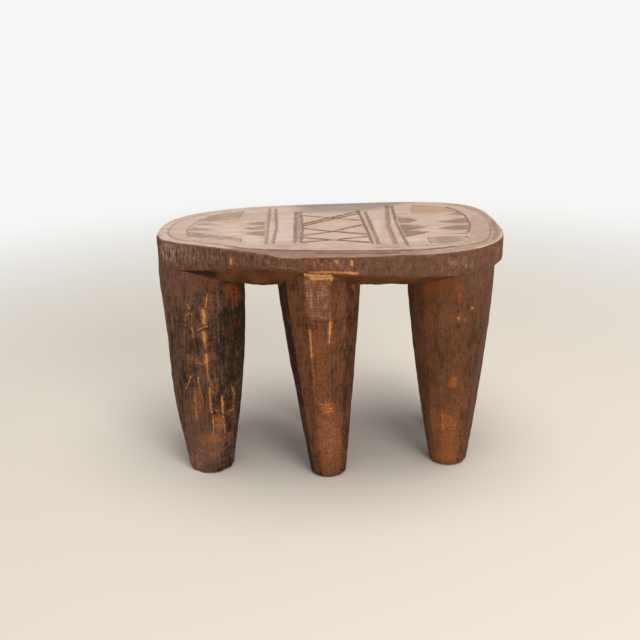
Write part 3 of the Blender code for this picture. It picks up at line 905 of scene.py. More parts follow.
# %% Make the seat
HEWN_SIDE = (
    Swell(0.0007, (0.022, 0.022, 0.05), 3.0),
    Swell(0.0003, 0.007, 5.0),
    Swell(0.00016, (0.0022, 0.0022, 0.012), 7.0),
)
TOP_GRAIN = (Swell(0.00022, (0.03, 0.0035, 0.02), 11.0), Swell(0.0004, 0.05, 13.0))
GRAIN_FROM_TO = (0.002, 0.01)
RIM_MARK_REACH = 1.5
ON_TOP = 0.01
PAST_EDGE = 0.2
ON_RIM = 0.6
DARK_KIND = 0.95
PAST_RIM = 1.02
GREY_FADE = (-0.007, 0.006)
GREY_ALONG = np.array((0.35, 1.0))
STIPPLE_FADE = (-0.001, 0.001)
TAN_FADE = (-0.001, 0.002)
DUST_SEED = 31.0
RIM_RUB_SEED = 37.0


def finish_seat(bm):
    refine_marks(bm, RIM_MARKS, RIM_MARK_REACH, rounds=1)
    item = finish_piece("carved_seat", bm)
    mesh = item.data
    points, normals = points_and_normals(mesh)
    plan = points[:, :2]
    angles = np.arctan2(points[:, 1], points[:, 0])
    spread = edge_distance(plan)
    kind = read_attribute(mesh, "rim")
    top = kind < ON_TOP
    side = kind > PAST_EDGE
    wobble = HAND_WOBBLE * wander(points, HAND_WOBBLE_SIZE, HAND_WOBBLE_SEED)
    depth, dark = carve(plan + wobble, spread + wobble[:, 0])
    mark_depth, bare, halo = apply_marks(points, normals, RIM_MARKS)
    hewn = np.where(kind > ON_RIM, swells(points, HEWN_SIDE) * np.maximum(1.0, kind), 0.0)
    rim_left = 1.0 - (TOP - points[:, 2] - RIM_ROUND) / (rim_height(angles) - RIM_ROUND)
    worn = worn_edge(angles, spread) * np.where(kind < ON_RIM, 1.0, np.clip(rim_left, 0.0, 1.0))
    moved = points + normals * (hewn - mark_depth)[:, None]
    moved[:, 2] -= np.where(top, depth, 0.0) + worn
    moved[:, 2] += np.where(top, swells(points, TOP_GRAIN) * ramp(spread, *GRAIN_FROM_TO), 0.0)
    grey = inside_distance(plan * GREY_ALONG, on_top(GREY_BACK) * GREY_ALONG)
    dust = patch_share(points, normals, RIM_DUST_PATCHES, hidden=0.6, seed=DUST_SEED)
    rub = patch_share(points, normals, RIM_RUB_PATCHES, hidden=0.4, seed=RIM_RUB_SEED)
    add_attributes(mesh, {
        "rim": np.maximum(kind, DARK_KIND * dark_edge(angles, spread)),
        # Darkness of the cuts: dirt and painted shade.
        "cut_dirt_and_shade": np.where(top, dark, 0.0),
        "worn": front_strip(plan) * (kind < ON_RIM),
        "grey": ramp(grey, *GREY_FADE) * top,
        "stipple": ramp(inside_distance(plan, on_top(STIPPLED)), *STIPPLE_FADE) * top,
        "tan": ramp(inside_distance(plan, on_top(TAN_RECESS)), *TAN_FADE) * top,
        # Pale wood and a painted highlight at the left corner.
        "pale_and_highlight": patch_share(points, normals, PALE_AND_HIGHLIGHT_PATCHES) * top,
        # Brown patches and painted shade on the top, painted shadow on the underside.
        "painted_shade_and_brown": patch_share(points, normals, PAINTED_SHADE_AND_BROWN_PATCHES) * (top | (kind > PAST_RIM)),
        "bare": bare,
        "dust": dust * side,
        "rub": np.maximum(rub, halo) * side,
    })
    move_points(mesh, moved)
    return item


carved_seat = finish_seat(seat_bm)

# %% [markdown]
# ## The legs
# Each leg was hewn to flat facets that meet in long arrises and taper to the foot. We cut a copy
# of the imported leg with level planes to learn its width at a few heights, and draw a smooth line
# through them. The section is a polygon whose corners are the arrises, given as directions round
# the leg, front being minus 90 degrees. A ring of points along that polygon, extruded upwards,
# makes the leg, and each ring is then moved to its own width. Near the top most legs step back
# under the rim, and the outer corners run flush into it.

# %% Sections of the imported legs
SECTION_HEIGHTS = (0.004, 0.03, 0.06, 0.09, 0.12, 0.15, 0.18, 0.21, 0.232)
SHOWN_HEIGHT = 0.2


def smooth_line(values):
    """A smooth line through values at the section heights, going straight on above them."""
    fit = np.polynomial.Polynomial.fit(SECTION_HEIGHTS, values, 4)
    last = SECTION_HEIGHTS[-1]
    slope = fit.deriv()(last)
    return lambda z: fit(np.minimum(z, last)) + slope * np.maximum(z - last, 0.0)


def leg_sections(node):
    """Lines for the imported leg's lowest x and y and highest x and y at any height."""
    rows = []
    for height in SECTION_HEIGHTS:
        bm = bmesh.new()
        bm.from_mesh(node.data)
        everything = bm.verts[:] + bm.edges[:] + bm.faces[:]
        plane = {"plane_co": (0.0, 0.0, height), "plane_no": (0.0, 0.0, 1.0)}
        cut = bmesh.ops.bisect_plane(bm, geom=everything, **plane)
        spots = np.array([item.co.xy for item in cut["geom_cut"] if isinstance(item, bmesh.types.BMVert)])
        rows.append((*spots.min(axis=0), *spots.max(axis=0)))
        bm.free()
    return [smooth_line(values) for values in zip(*rows)]


sections = {name: leg_sections(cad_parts[name]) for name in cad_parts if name.startswith("leg_")}
for name, (low_x, low_y, high_x, high_y) in sections.items():
    wide = float(high_x(SHOWN_HEIGHT) - low_x(SHOWN_HEIGHT))
    deep = float(high_y(SHOWN_HEIGHT) - low_y(SHOWN_HEIGHT))
    print(name, "is", round(wide, 4), "x", round(deep, 4), "m at", SHOWN_HEIGHT, "m")

# %% Rings of a leg
RING_STEP = 0.002
COLUMN_WIDTH = 0.0017
LEG_TOP = TOP - 0.012
FOOT_ROUND = 0.003
FOOT_ROWS = ((0.0, 1.0), (0.0007, 0.5), (0.0018, 0.17), (0.0034, 0.0))
FLUSH_PROUD = 0.0006
FLUSH_SUNK = 0.0012
STEP_BACK_FROM = 0.185
STEP_BACK_FULL = 0.238
FLARE_FROM = 0.14
GIRTH_SHARE = 1.6
ARRIS_SOFT = 1.2


def corner_points(look, z):
    """Corners of a leg's section in a box of -1 to 1, turned towards the foot and flared at the top."""
    turn = np.array([look.turn.get(arris, look.twist) for arris in look.arrises])
    angles = np.radians(np.array(look.arrises) + turn * max(0.0, 1.0 - z / UNDERSIDE))
    corners = np.stack((np.cos(angles), np.sin(angles)), axis=1)
    low, high = corners.min(axis=0), corners.max(axis=0)
    corners = 2.0 * (corners - low) / (high - low) - 1.0
    flare = np.array([look.flare.get(arris, 0.0) for arris in look.arrises])
    return corners * (1.0 + flare * ramp(z, FLARE_FROM, UNDERSIDE))[:, None]


def facet_counts(look, around):
    """How many points each facet gets, by its width."""
    corners = corner_points(look, UNDERSIDE)
    widths = np.linalg.norm(np.roll(corners, -1, axis=0) - corners, axis=1)
    return [max(3, round(width / widths.sum() * around)) for width in widths]


def section_ring(look, counts, z):
    """Points along the section's facets, a little rounded at the arrises."""
    corners = corner_points(look, z)
    sides = zip(corners, np.roll(corners, -1, axis=0), counts)
    ring = np.vstack([a + (b - a) * (np.arange(count) / count)[:, None] for a, b, count in sides])
    return 0.6 * ring + 0.2 * (np.roll(ring, 1, axis=0) + np.roll(ring, -1, axis=0))


def leg_tube(count, heights):
    """A tube of one ring of edges after another, on a unit circle, closed at both ends."""
    bm = bmesh.new()
    bmesh.ops.create_circle(bm, cap_ends=False, radius=1.0, segments=count)
    bmesh.ops.translate(bm, verts=bm.verts[:], vec=(0.0, 0.0, heights[0]))
    ring = bm.edges[:]
    bmesh.ops.contextual_create(bm, geom=ring)
    for lower, upper in zip(heights, heights[1:]):
        ring, verts = extrude_ring(bm, ring)
        bmesh.ops.translate(bm, verts=verts, vec=(0.0, 0.0, upper - lower))
    bmesh.ops.contextual_create(bm, geom=ring)
    return bm


def hold_inside_rim(plan, z, step_back):
    """Draw points back inside the seat's edge, and further back near the top where the leg steps in."""
    angles = np.arctan2(plan[:, 1], plan[:, 0])
    gap = np.interp(z, (UNDERSIDE, LEG_TOP), (-FLUSH_PROUD, FLUSH_SUNK))
    gap += table_value(step_back, angles) * ramp(z, STEP_BACK_FROM, STEP_BACK_FULL)
    reach = np.linalg.norm(plan, axis=1)
    return plan * np.minimum(1.0, (outline_reach(angles) - gap) / np.maximum(reach, 1e-6))[:, None]


def leg_level(look, counts, z):
    """The plan points of one ring of a leg at height z."""
    low_x, low_y, high_x, high_y = sections[look.node]
    level_z = max(z, SECTION_HEIGHTS[0])
    low = np.array((low_x(level_z), low_y(level_z)))
    high = np.array((high_x(level_z), high_y(level_z)))
    inset = FOOT_ROUND * np.interp(z, *zip(*FOOT_ROWS))
    plan = (low + high) / 2 + section_ring(look, counts, z) * ((high - low) / 2 - inset)
    return hold_inside_rim(plan, z, look.step_back)


def shape_leg(look):
    """A tube whose rings follow the leg's facets, with its arrises and tones as named values."""
    low_x, low_y, high_x, high_y = sections[look.node]
    girth = GIRTH_SHARE * float(high_x(UNDERSIDE) - low_x(UNDERSIDE) + high_y(UNDERSIDE) - low_y(UNDERSIDE))
    counts = facet_counts(look, girth / COLUMN_WIDTH)
    steps = [np.minimum(np.arange(count), count - np.arange(count)) for count in counts]
    near = np.exp(-(np.concatenate(steps) / ARRIS_SOFT) ** 2)
    tone = np.repeat(look.tones, counts)
    heights = [height for height, _ in FOOT_ROWS]
    rises = round((LEG_TOP - heights[-1]) / RING_STEP)
    heights += list(np.linspace(heights[-1], LEG_TOP, rises + 1)[1:])
    bm = leg_tube(len(tone), heights)
    layers = [bm.verts.layers.float.new(name) for name in ("arris", "tone")]
    levels = {round(z, 5): leg_level(look, counts, z) for z in heights}
    bm.verts.ensure_lookup_table()
    first = math.atan2(bm.verts[0].co.y, bm.verts[0].co.x)
    for vert in bm.verts:
        turned = math.atan2(vert.co.y, vert.co.x) - first
        place = round(turned / math.tau * len(tone)) % len(tone)
        vert[layers[0]] = near[place]
        vert[layers[1]] = tone[place]
        vert.co.xy = levels[round(vert.co.z, 5)][place]
    face_outwards(bm)
    return bm


print("leg rings up to", round(LEG_TOP, 3), "m, every", RING_STEP, "m")

# %% [markdown]
# ## Wear on each leg
# The left leg is split and blackened, the front leg has a stop cut and bare slivers on its
# arrises, and the right leg is rubbed red at the foot. Under the rim the wood is a rusty red. The
# three back legs are hidden in the photograph, so they carry no marks and only noise patches.
# Tones say how dark each facet is, beginning at the first arris. They are partly painted shade,
# darker on facets in shadow and on those that face in towards the other legs, and partly the
# wood's own darker and lighter facets. Light patches lift the tone; at the left leg's top they are
# painted light.

# %% Lists of wear for the legs
LegLook = namedtuple(
    "LegLook", "node arrises tones flare twist turn step_back marks soot rub light rust seed")

LEFT_MARKS = [
    Mark([(207.2, 295.0), (206.4, 301.0), (205.2, 307.4)], 1.5, 0.0006, 0.85),
    Mark([(203.0, 311.0), (203.6, 316.0), (204.2, 322.4)], 3.9, 0.0009, 1.0),
    Mark([(197.0, 330.6), (201.0, 328.4), (207.0, 326.0)], 1.3, 0.0005, 0.8),
    Mark([(199.0, 332.0), (203.0, 330.0), (206.6, 328.8)], 1.5, 0.0010, 0.0),
    Mark([(203.6, 332.8), (204.0, 337.0)], 4.4, 0.0008, 1.0),
    Mark([(204.4, 337.0), (204.8, 342.6)], 3.2, 0.0008, 1.0),
    Mark([(205.0, 342.6), (205.4, 349.0)], 2.0, 0.0006, 0.9),
    Mark([(206.0, 355.6), (206.4, 362.6)], 3.4, 0.0008, 1.0),
    Mark([(206.6, 363.0), (207.0, 370.0), (207.8, 377.0)], 1.7, 0.0006, 0.85),
    Mark([(207.8, 377.0), (211.2, 385.4)], 1.8, 0.0006, 0.7),
    Mark([(209.6, 388.0), (210.0, 396.0), (210.6, 408.0)], 1.9, 0.0008, 0.9),
    Mark([(210.6, 408.0), (212.4, 416.0), (213.4, 424.0), (214.0, 433.0)], 1.6, 0.0006, 0.75),
    Mark([(187.8, 304.4), (189.2, 308.0)], 2.4, 0.0004, 0.7),
    Mark([(185.2, 316.2), (187.6, 314.2), (191.2, 313.4)], 1.9, 0.0004, 0.65),
    Mark([(191.0, 314.0), (191.6, 322.0)], 1.3, 0.0004, 0.55),
    Mark([(184.6, 319.0), (185.0, 327.0), (184.6, 335.4)], 2.2, 0.0003, 0.45),
    Mark([(187.0, 330.0), (186.6, 336.0)], 1.6, 0.0003, 0.4),
    Mark([(191.8, 327.6), (193.0, 336.6)], 2.2, 0.0005, 0.7),
    Mark([(193.6, 337.4), (198.6, 337.6), (202.0, 337.0)], 1.1, 0.0004, 0.4),
    Mark([(195.0, 347.0), (195.6, 348.4)], 1.8, 0.0003, 0.45),
    Mark([(187.4, 354.6), (188.6, 360.0)], 1.9, 0.0004, 0.5),
    Mark([(192.4, 356.4), (191.8, 362.4)], 1.7, 0.0004, 0.45),
    Mark([(196.8, 355.6), (196.0, 361.4)], 1.8, 0.0004, 0.5),
    Mark([(187.4, 362.0), (192.0, 363.4)], 1.6, 0.0004, 0.5),
    Mark([(195.4, 363.0), (204.0, 363.8)], 1.5, 0.0004, 0.6),
    Mark([(191.0, 376.0), (189.2, 381.0), (186.2, 388.6)], 1.8, 0.0006, 0.75),
    Mark([(198.0, 378.0), (198.8, 384.0), (200.0, 391.0)], 1.8, 0.0005, 0.6),
    Mark([(198.0, 377.6), (204.0, 376.6)], 1.3, 0.0003, 0.35),
    Mark([(200.6, 392.0), (202.4, 399.0), (202.6, 407.0)], 1.5, 0.0004, 0.5),
    Mark([(194.6, 391.0), (195.4, 403.0), (196.4, 419.0)], 2.0, 0.0005, 0.6),
    Mark([(188.4, 404.0), (189.4, 413.0), (190.2, 426.0)], 1.5, 0.0003, 0.35),
    Mark([(221.8, 396.6), (222.6, 404.0), (223.0, 412.0)], 2.2, 0.0006, 0.75),
    Mark([(223.2, 412.0), (224.0, 424.0), (224.8, 432.0)], 1.9, 0.0005, 0.65),
    Mark([(213.0, 410.4), (222.0, 411.0)], 1.3, 0.0004, 0.55),
    Mark([(224.8, 413.0), (228.0, 412.0), (232.8, 409.4)], 1.6, 0.0004, 0.6),
    Mark([(232.6, 387.6), (234.4, 395.0)], 1.6, 0.0004, 0.6),
    Mark([(234.4, 395.0), (234.0, 402.0), (233.0, 409.4)], 1.4, 0.0004, 0.55),
    Mark([(224.4, 377.0), (226.0, 385.4)], 1.4, 0.0003, 0.4),
    Mark([(229.0, 314.6), (230.6, 322.0), (232.2, 333.0)], 1.4, 0.0003, 0.35),
    Mark([(218.6, 303.0), (218.4, 312.0)], 1.6, 0.0003, 0.45),
    Mark([(218.4, 322.0), (218.8, 340.0)], 1.3, 0.0003, 0.4),
    Mark([(241.6, 312.0), (240.6, 320.0), (239.8, 326.0)], 1.6, 0.0003, 0.4),
    Mark([(168.2, 304.4), (168.0, 310.0)], 2.4, 0.0003, 0.4),
    Mark([(171.0, 312.0), (171.2, 323.0)], 1.7, 0.0003, 0.45),
    Mark([(168.0, 352.2), (190.0, 352.6), (208.0, 351.6), (236.0, 350.0)], 1.1, 0.0005, 0.0),
    Mark([(197.0, 450.0), (199.0, 448.4), (202.0, 452.0)], 1.8, 0.0003, 0.5),
    Mark([(230.4, 432.6), (228.8, 434.0)], 2.4, 0.0003, 0.5),
]
LEFT_SOOT = [
    Area([(219.4, 309.0), (223.9, 305.0), (232.1, 309.5), (242.0, 300.5), (247.0, 303.0), (246.0, 342.0),
          (238.7, 348.5), (222.3, 346.9), (219.0, 329.0)], 0.62),
    Patch(176, 338, 8, 12, 0.45), Patch(194, 343, 12, 8, 0.5), Patch(213, 335, 6, 30, 0.42),
    Patch(213, 368, 8, 14, 0.45), Patch(190, 369, 14, 8, 0.42), Patch(184, 384, 10, 18, 0.45),
    Patch(230, 368, 12, 22, 0.5), Patch(181, 410, 6, 26, 0.5), Patch(198, 322, 6, 10, 0.42),
    Patch(206, 398, 4, 12, 0.45), Patch(228, 398, 5, 10, 0.5), Patch(230, 424, 4, 10, 0.55),
    Patch(228, 452, 6, 14, 0.35), Patch(204, 420, 6, 10, 0.35), Patch(199, 296, 5, 9, 0.35),
]
LEFT_RUST = [
    Patch(234, 288, 14, 18, 1.0), Patch(234, 302, 8, 8, 0.8), Patch(202, 281, 24, 9, 0.95),
    Patch(213, 293, 9, 12, 0.6),
    Patch(233, 328, 13, 22, 0.6), Patch(206, 398, 16, 22, 0.35), Patch(205, 320, 16, 14, 0.3),
]
LEFT_RUB = [
    Patch(212, 301, 6, 12, 0.5), Patch(219, 422, 8, 14, 0.85), Patch(197, 404, 9, 22, 0.7),
    Patch(212, 438, 20, 8, 0.7), Patch(205, 372, 10, 12, 0.45), Patch(212, 452, 14, 10, 0.45),
    Patch(190, 318, 6, 14, 0.5), Patch(192, 358, 8, 7, 0.5), Patch(203, 334, 6, 14, 0.5),
]
# Light patches lift a leg's tone: on the left leg the three at the top are painted light, those at the foot
# only lighten it.
LEFT_LIGHT = [
    Patch(172, 285, 9, 22, 0.10), Patch(200, 458, 14, 15, 0.35), Patch(188, 298, 6, 8, 0.16),
    Patch(212, 446, 20, 24, 0.34), Patch(205, 288, 18, 10, 0.08),
]
FRONT_MARKS = [
    Mark([(310.0, 331.0), (311.2, 345.0), (311.6, 357.0)], 2.0, 0.0005, 1.0),
    Mark([(330.4, 323.0), (329.8, 333.0), (329.4, 342.0)], 3.0, 0.0006, 1.0),
    Mark([(311.8, 357.0), (314.4, 385.0), (316.0, 405.0)], 1.1, 0.0003, 0.5),
    Mark([(329.6, 343.0), (329.6, 370.0), (330.4, 398.0)], 1.1, 0.0003, 0.4),
    Mark([(332.4, 330.0), (331.8, 350.0), (332.0, 375.0), (332.8, 402.0)], 1.7, 0.0009, 0.0),
    Mark([(310.4, 319.4), (320.0, 320.0), (330.8, 319.0)], 1.9, 0.0002, 0.42),
    Mark([(306.0, 273.4), (314.0, 274.0), (322.0, 274.4), (334.0, 274.0)], 4.0, 0.0003, 0.95),
    Mark([(310.0, 276.0), (322.0, 276.2), (332.0, 275.8)], 5.4, 0.0001, 0.62),
    Mark([(312.0, 277.4), (322.0, 278.0), (331.6, 277.4)], 3.2, 0.0003, 0.9),
    Mark([(331.0, 279.6), (334.6, 274.6)], 2.6, 0.0003, 0.8),
    Mark([(310.4, 321.6), (320.0, 322.2), (330.4, 321.4)], 1.4, 0.0008, 0.0),
    Mark([(353.0, 285.0), (355.0, 291.0)], 2.2, 0.0003, 0.4),
    Mark([(319.0, 404.0), (325.0, 405.0), (331.0, 403.6)], 1.5, 0.0002, 0.6),
    Mark([(326.0, 412.0), (333.4, 411.0)], 1.7, 0.0002, 0.65),
    Mark([(330.0, 408.0), (331.4, 409.0)], 2.2, 0.0002, 0.7),
    Mark([(322.0, 434.0), (327.0, 435.0)], 1.5, 0.0002, 0.5),
    Mark([(343.0, 431.0), (344.6, 434.0)], 2.0, 0.0002, 0.5),
    Mark([(331.0, 446.0), (332.0, 449.0)], 2.2, 0.0002, 0.5),
    Mark([(320.0, 449.0), (324.0, 450.0)], 1.8, 0.0002, 0.5),
]
FRONT_SOOT = [
    Patch(344, 436, 5, 12, 0.5), Patch(322, 454, 6, 6, 0.5), Patch(336, 424, 4, 8, 0.5),
    Patch(340, 392, 5, 22, 0.3),
]
FRONT_RUST = [Patch(354, 284, 8, 9, 0.8), Patch(322, 372, 9, 48, 0.45), Patch(333, 448, 12, 20, 0.3)]
FRONT_RUB = [
    Patch(330, 440, 20, 40, 0.62),
    Area([(311.5, 322.0), (329.0, 322.0), (329.0, 402.0), (317.0, 404.0)], 0.42),
    Patch(354, 284, 7, 8, 0.6), Patch(318, 284, 14, 8, 0.35), Patch(309, 415, 6, 30, 0.3),
    Patch(322, 366, 6, 14, 0.5), Patch(327, 409, 8, 9, 1.0),
]
FRONT_LIGHT = [
    Area([(304.0, 277.0), (331.0, 277.0), (330.4, 319.0), (309.4, 319.8)], 0.34),
    Patch(330, 408, 8, 12, 0.18),
    Patch(328, 440, 14, 34, 0.24), Patch(305, 400, 6, 40, 0.10), Patch(339, 308, 4, 14, 0.12),
]
RIGHT_MARKS = [
    Mark([(442.8, 412.0), (443.0, 422.0), (443.2, 430.0)], 1.5, 0.0004, 0.7),
    Mark([(472.0, 307.6), (472.6, 308.6)], 2.8, 0.0003, 0.75),
    Mark([(458.4, 317.8), (459.2, 319.2)], 2.8, 0.0003, 0.7),
    Mark([(464.6, 319.4), (464.8, 321.0)], 2.2, 0.0003, 0.55),
    Mark([(431.2, 409.0), (431.0, 416.0), (433.6, 428.0), (434.6, 434.0)], 1.7, 0.0004, 0.4),
    Mark([(439.6, 321.0), (440.6, 330.0)], 1.6, 0.0002, 0.25),
    Mark([(446.6, 346.0), (446.8, 358.0)], 1.3, 0.0002, 0.25),
    Mark([(480.4, 281.0), (480.6, 284.6)], 1.8, 0.0002, 0.45),
]
RIGHT_SOOT = [
    Patch(446, 345, 26, 30, 0.2), Patch(474, 350, 10, 40, 0.25), Patch(462, 451, 5, 8, 0.3),
    Patch(470, 304, 5, 8, 0.3), Patch(428, 372, 10, 26, 0.24), Patch(424, 300, 5, 20, 0.3),
]
RIGHT_RUST = [
    Patch(436, 284, 18, 16, 0.95), Patch(458, 290, 13, 18, 0.9), Patch(427, 296, 7, 14, 0.6),
    Patch(450, 418, 20, 40, 0.5), Patch(453, 382, 7, 11, 0.8), Patch(458, 340, 8, 16, 0.4),
]
RIGHT_RUB = [
    Patch(460, 292, 7, 15, 0.5), Patch(453, 382, 6, 9, 0.9), Patch(462, 320, 8, 9, 0.3),
    Patch(448, 430, 18, 34, 0.72), Patch(462, 402, 10, 18, 0.4), Patch(446, 455, 18, 11, 0.75),
    Patch(438, 395, 8, 14, 0.35), Patch(484, 290, 4, 18, 0.4),
]
RIGHT_LIGHT = [Patch(444, 450, 20, 18, 0.2), Patch(433, 428, 6, 34, 0.32), Patch(442, 324, 6, 10, 0.08)]
FLUSH_LEFT = (
    (-180, 0.0), (-166, 0.0), (-160, 0.008), (-150, 0.012), (-100, 0.014), (130, 0.004), (160, 0.0),
)
FLUSH_RIGHT = ((-60, 0.014), (-45, 0.012), (-32, 0.003), (-26, 0.0), (-16, 0.0), (-9, 0.006), (40, 0.006))
UNDER_RIM = ((-90, 0.004), (90, 0.004))

# Tones are partly painted shade: darker on facets in shadow and facing in towards the other legs.
LEGS = [
    LegLook("leg_front_left", (-176, -150, -116, -87, -68, -30, -4, 35, 72, 110, 143),
            (0.36, 0.33, 0.33, 0.26, 0.20, 0.15, 0.3, 0.4, 0.45, 0.5, 0.5),
            {143: 0.42, -176: 0.06}, 3.0, {},
            FLUSH_LEFT, LEFT_MARKS, LEFT_SOOT, LEFT_RUB, LEFT_LIGHT, LEFT_RUST, 1),
    LegLook("leg_front_centre", (-178, -160, -140, -111, -76, -53, -24, 4, 42, 84, 118, 152),
            (-0.16, 0.0, 0.28, 0.37, 0.32, 0.18, 0.2, 0.3, 0.4, 0.45, 0.4, 0.3), {}, 0.0, {-76: -8.0},
            UNDER_RIM, FRONT_MARKS, FRONT_SOOT, FRONT_RUB, FRONT_LIGHT, FRONT_RUST, 2),
    LegLook("leg_front_right", (-179, -156, -134, -113, -91, -68, -45, -12, 14, 52, 88, 124, 156),
            (0.27, 0.30, 0.31, 0.31, 0.30, 0.24, 0.21, 0.26, 0.45, 0.5, 0.45, 0.4, 0.3), {}, -5.0, {},
            FLUSH_RIGHT, RIGHT_MARKS, RIGHT_SOOT, RIGHT_RUB, RIGHT_LIGHT, RIGHT_RUST, 3),
    LegLook("leg_back_left", (-172, -140, -104, -70, -36, -4, 26, 58, 94, 122, 158),
            (0.45, 0.4, 0.35, 0.3, 0.25, 0.3, 0.4, 0.45, 0.5, 0.4, 0.45), {}, 4.0, {},
            UNDER_RIM, [], [], [], [], [], 4),
    LegLook("leg_back_centre", (-176, -150, -112, -75, -40, -6, 22, 55, 74, 108, 126, 156),
            (0.3, 0.35, 0.35, 0.3, 0.3, 0.35, 0.4, 0.45, 0.55, 0.45, 0.4, 0.35), {}, 5.0, {},
            UNDER_RIM, [], [], [], [], [], 5),
    LegLook("leg_back_right", (-174, -142, -108, -72, -38, -2, 30, 50, 86, 112, 150),
            (0.3, 0.35, 0.35, 0.35, 0.4, 0.45, 0.45, 0.5, 0.45, 0.4, 0.35), {}, -6.0, {},
            UNDER_RIM, [], [], [], [], [], 6),
]
print(sum(len(look.marks) for look in LEGS), "marks on the legs")

# %% [markdown]
# ## Adze strokes and splits
# A hewn facet isn't flat: the adze leaves long shallow scoops, and dry wood lifts in fibres. Both
# are noise, stretched along the leg. The front leg has one stroke more: its front facet was left
# a little proud above a stop cut, and a ledge of wood stands out under the rim. The marks from
# the picture go in last.

# %% Make the six legs
ADZE_SCOOPS = (
    Swell(0.0006, (0.016, 0.016, 0.055), 0.0),
    Swell(0.0004, 0.012, 5.0),
    Swell(0.00013, (0.0026, 0.0026, 0.016), 9.0),
)
SEED_STEP = 20.0
LEG_MARK_REACH = 1.6
FRONT_FACING = (0.9, 0.97)
FOOT_CALM = (0.0005, 0.006)
FLUSH_SPREAD = (0.003, 0.010)
FLUSH_HEIGHT = (0.205, 0.250)
STOP_CUT_DOWN = (319.3, 320.7)
STOP_CUT_STEP = 0.0012
LEDGE_DOWN = (277.0, 292.0)
LEDGE_STEP = 0.0020


def hew(points, normals, look):
    """How far each point of a leg stands out of or sinks into its flat facet."""
    out = swells(points, ADZE_SCOOPS, SEED_STEP * look.seed)
    if look.node == "leg_front_centre":
        down = to_pixels(points)[:, 1]
        front = ramp(-normals[:, 1], *FRONT_FACING)
        out += STOP_CUT_STEP * front * (1.0 - ramp(down, *STOP_CUT_DOWN))
        out += LEDGE_STEP * front * (1.0 - ramp(down, *LEDGE_DOWN))
    return out * ramp(points[:, 2], *FOOT_CALM)


def make_leg(look):
    bm = shape_leg(look)
    refine_marks(bm, look.marks, LEG_MARK_REACH, rounds=2)
    item = finish_piece(look.node.replace("leg_", "") + "_leg", bm)
    mesh = item.data
    points, normals = points_and_normals(mesh)
    depth, bare, halo = apply_marks(points, normals, look.marks)
    spread = edge_distance(points[:, :2])
    hidden = 0.5 if look.marks else 0.6
    rub = patch_share(points, normals, look.rub, hidden, seed=90.0 + look.seed)
    add_attributes(mesh, {
        "bare": bare,
        "soot": patch_share(points, normals, look.soot, hidden, seed=80.0 + look.seed),
        "rub": np.maximum(rub, halo),
        "dust": patch_share(points, normals, RIM_DUST_PATCHES, hidden=0.4, seed=DUST_SEED),
        "light": patch_share(points, normals, look.light),
        "rust": patch_share(points, normals, look.rust, hidden=0.4, seed=70.0 + look.seed),
        "flush": (1.0 - ramp(spread, *FLUSH_SPREAD)) * ramp(points[:, 2], *FLUSH_HEIGHT),
    })
    move_points(mesh, points + normals * (hew(points, normals, look) - depth)[:, None])
    return item


legs = {look.node: make_leg(look) for look in LEGS}

# %% [markdown]
# ## Shared node groups
# Seat and legs are the same wood, so they share effects. The grain group stretches noise along
# the fibres and gives fine streaks, broad blotches and pores. The wear group turns a value from
# the mesh, such as nearness to an arris, into a broken mask by adding noise before a threshold,
# because wood never wears evenly. Groups give only values, and each material mixes its own paint.


# %% The grain and wear groups
def value_of(tree, name):
    return put(tree, "ShaderNodeAttribute", {"attribute_name": name}).outputs["Fac"]


def coat(tree, colour, paint, mask, share):
    """A paint over a colour where the mask says, at a share of its strength."""
    return mix(tree, scaled(tree, mask, share), colour, paint)


def new_group(name, inputs, outputs):
    tree = bpy.data.node_groups.new(name, "ShaderNodeTree")
    for label, kind, value in inputs:
        tree.interface.new_socket(label, in_out='INPUT', socket_type=kind).default_value = value
    for label in outputs:
        tree.interface.new_socket(label, in_out='OUTPUT', socket_type='NodeSocketFloat')
    return tree, tree.nodes.new("NodeGroupInput").outputs, tree.nodes.new("NodeGroupOutput").inputs


def make_grain_group():
    inputs = [("Stretch", "NodeSocketVector", (60.0, 600.0, 300.0)), ("Blotch", "NodeSocketFloat", 30.0)]
    tree, given, result = new_group("grain", inputs, ("Streaks", "Blotches", "Pores"))
    place = put(tree, "ShaderNodeTexCoord").outputs["Object"]
    times = {"operation": 'MULTIPLY'}
    along = put(tree, "ShaderNodeVectorMath", times, i0=place, i1=given["Stretch"]).outputs[0]
    streaks = put(tree, "ShaderNodeTexNoise", Vector=along, Scale=1.0, Detail=5.0, Roughness=0.62)
    pores = put(tree, "ShaderNodeTexNoise", Vector=along, Scale=2.7, Detail=3.0, Roughness=0.55)
    blotch = given["Blotch"]
    blotches = put(tree, "ShaderNodeTexNoise", Vector=place, Scale=blotch, Detail=4.0, Roughness=0.6)
    tree.links.new(soft_step(tree, streaks.outputs["Fac"], 0.28, 0.72), result["Streaks"])
    tree.links.new(soft_step(tree, blotches.outputs["Fac"], 0.3, 0.7), result["Blotches"])
    tree.links.new(soft_step(tree, pores.outputs["Fac"], 0.56, 0.70), result["Pores"])
    return tree


def make_wear_group():
    labels = (("Amount", 0.0), ("Size", 150.0), ("Break", 0.5), ("Soft", 0.5))
    inputs = [(label, "NodeSocketFloat", value) for label, value in labels]
    tree, given, result = new_group("broken_wear", inputs, ("Mask",))
    place = put(tree, "ShaderNodeTexCoord").outputs["Object"]
    rough = put(tree, "ShaderNodeTexNoise", Vector=place, Scale=given["Size"], Detail=6.0, Roughness=0.7)
    offset = reckon(tree, 'SUBTRACT', rough.outputs["Fac"], 0.5)
    total = reckon(tree, 'ADD', given["Amount"], scaled(tree, scaled(tree, offset, given["Break"]), 4.0))
    present = soft_step(tree, given["Amount"], 0.02, 0.2)
    full = reckon(tree, 'ADD', given["Soft"], 0.3)
    tree.links.new(scaled(tree, soft_step(tree, total, 0.3, full), present), result["Mask"])
    return tree


grain_group = make_grain_group()
wear_group = make_wear_group()


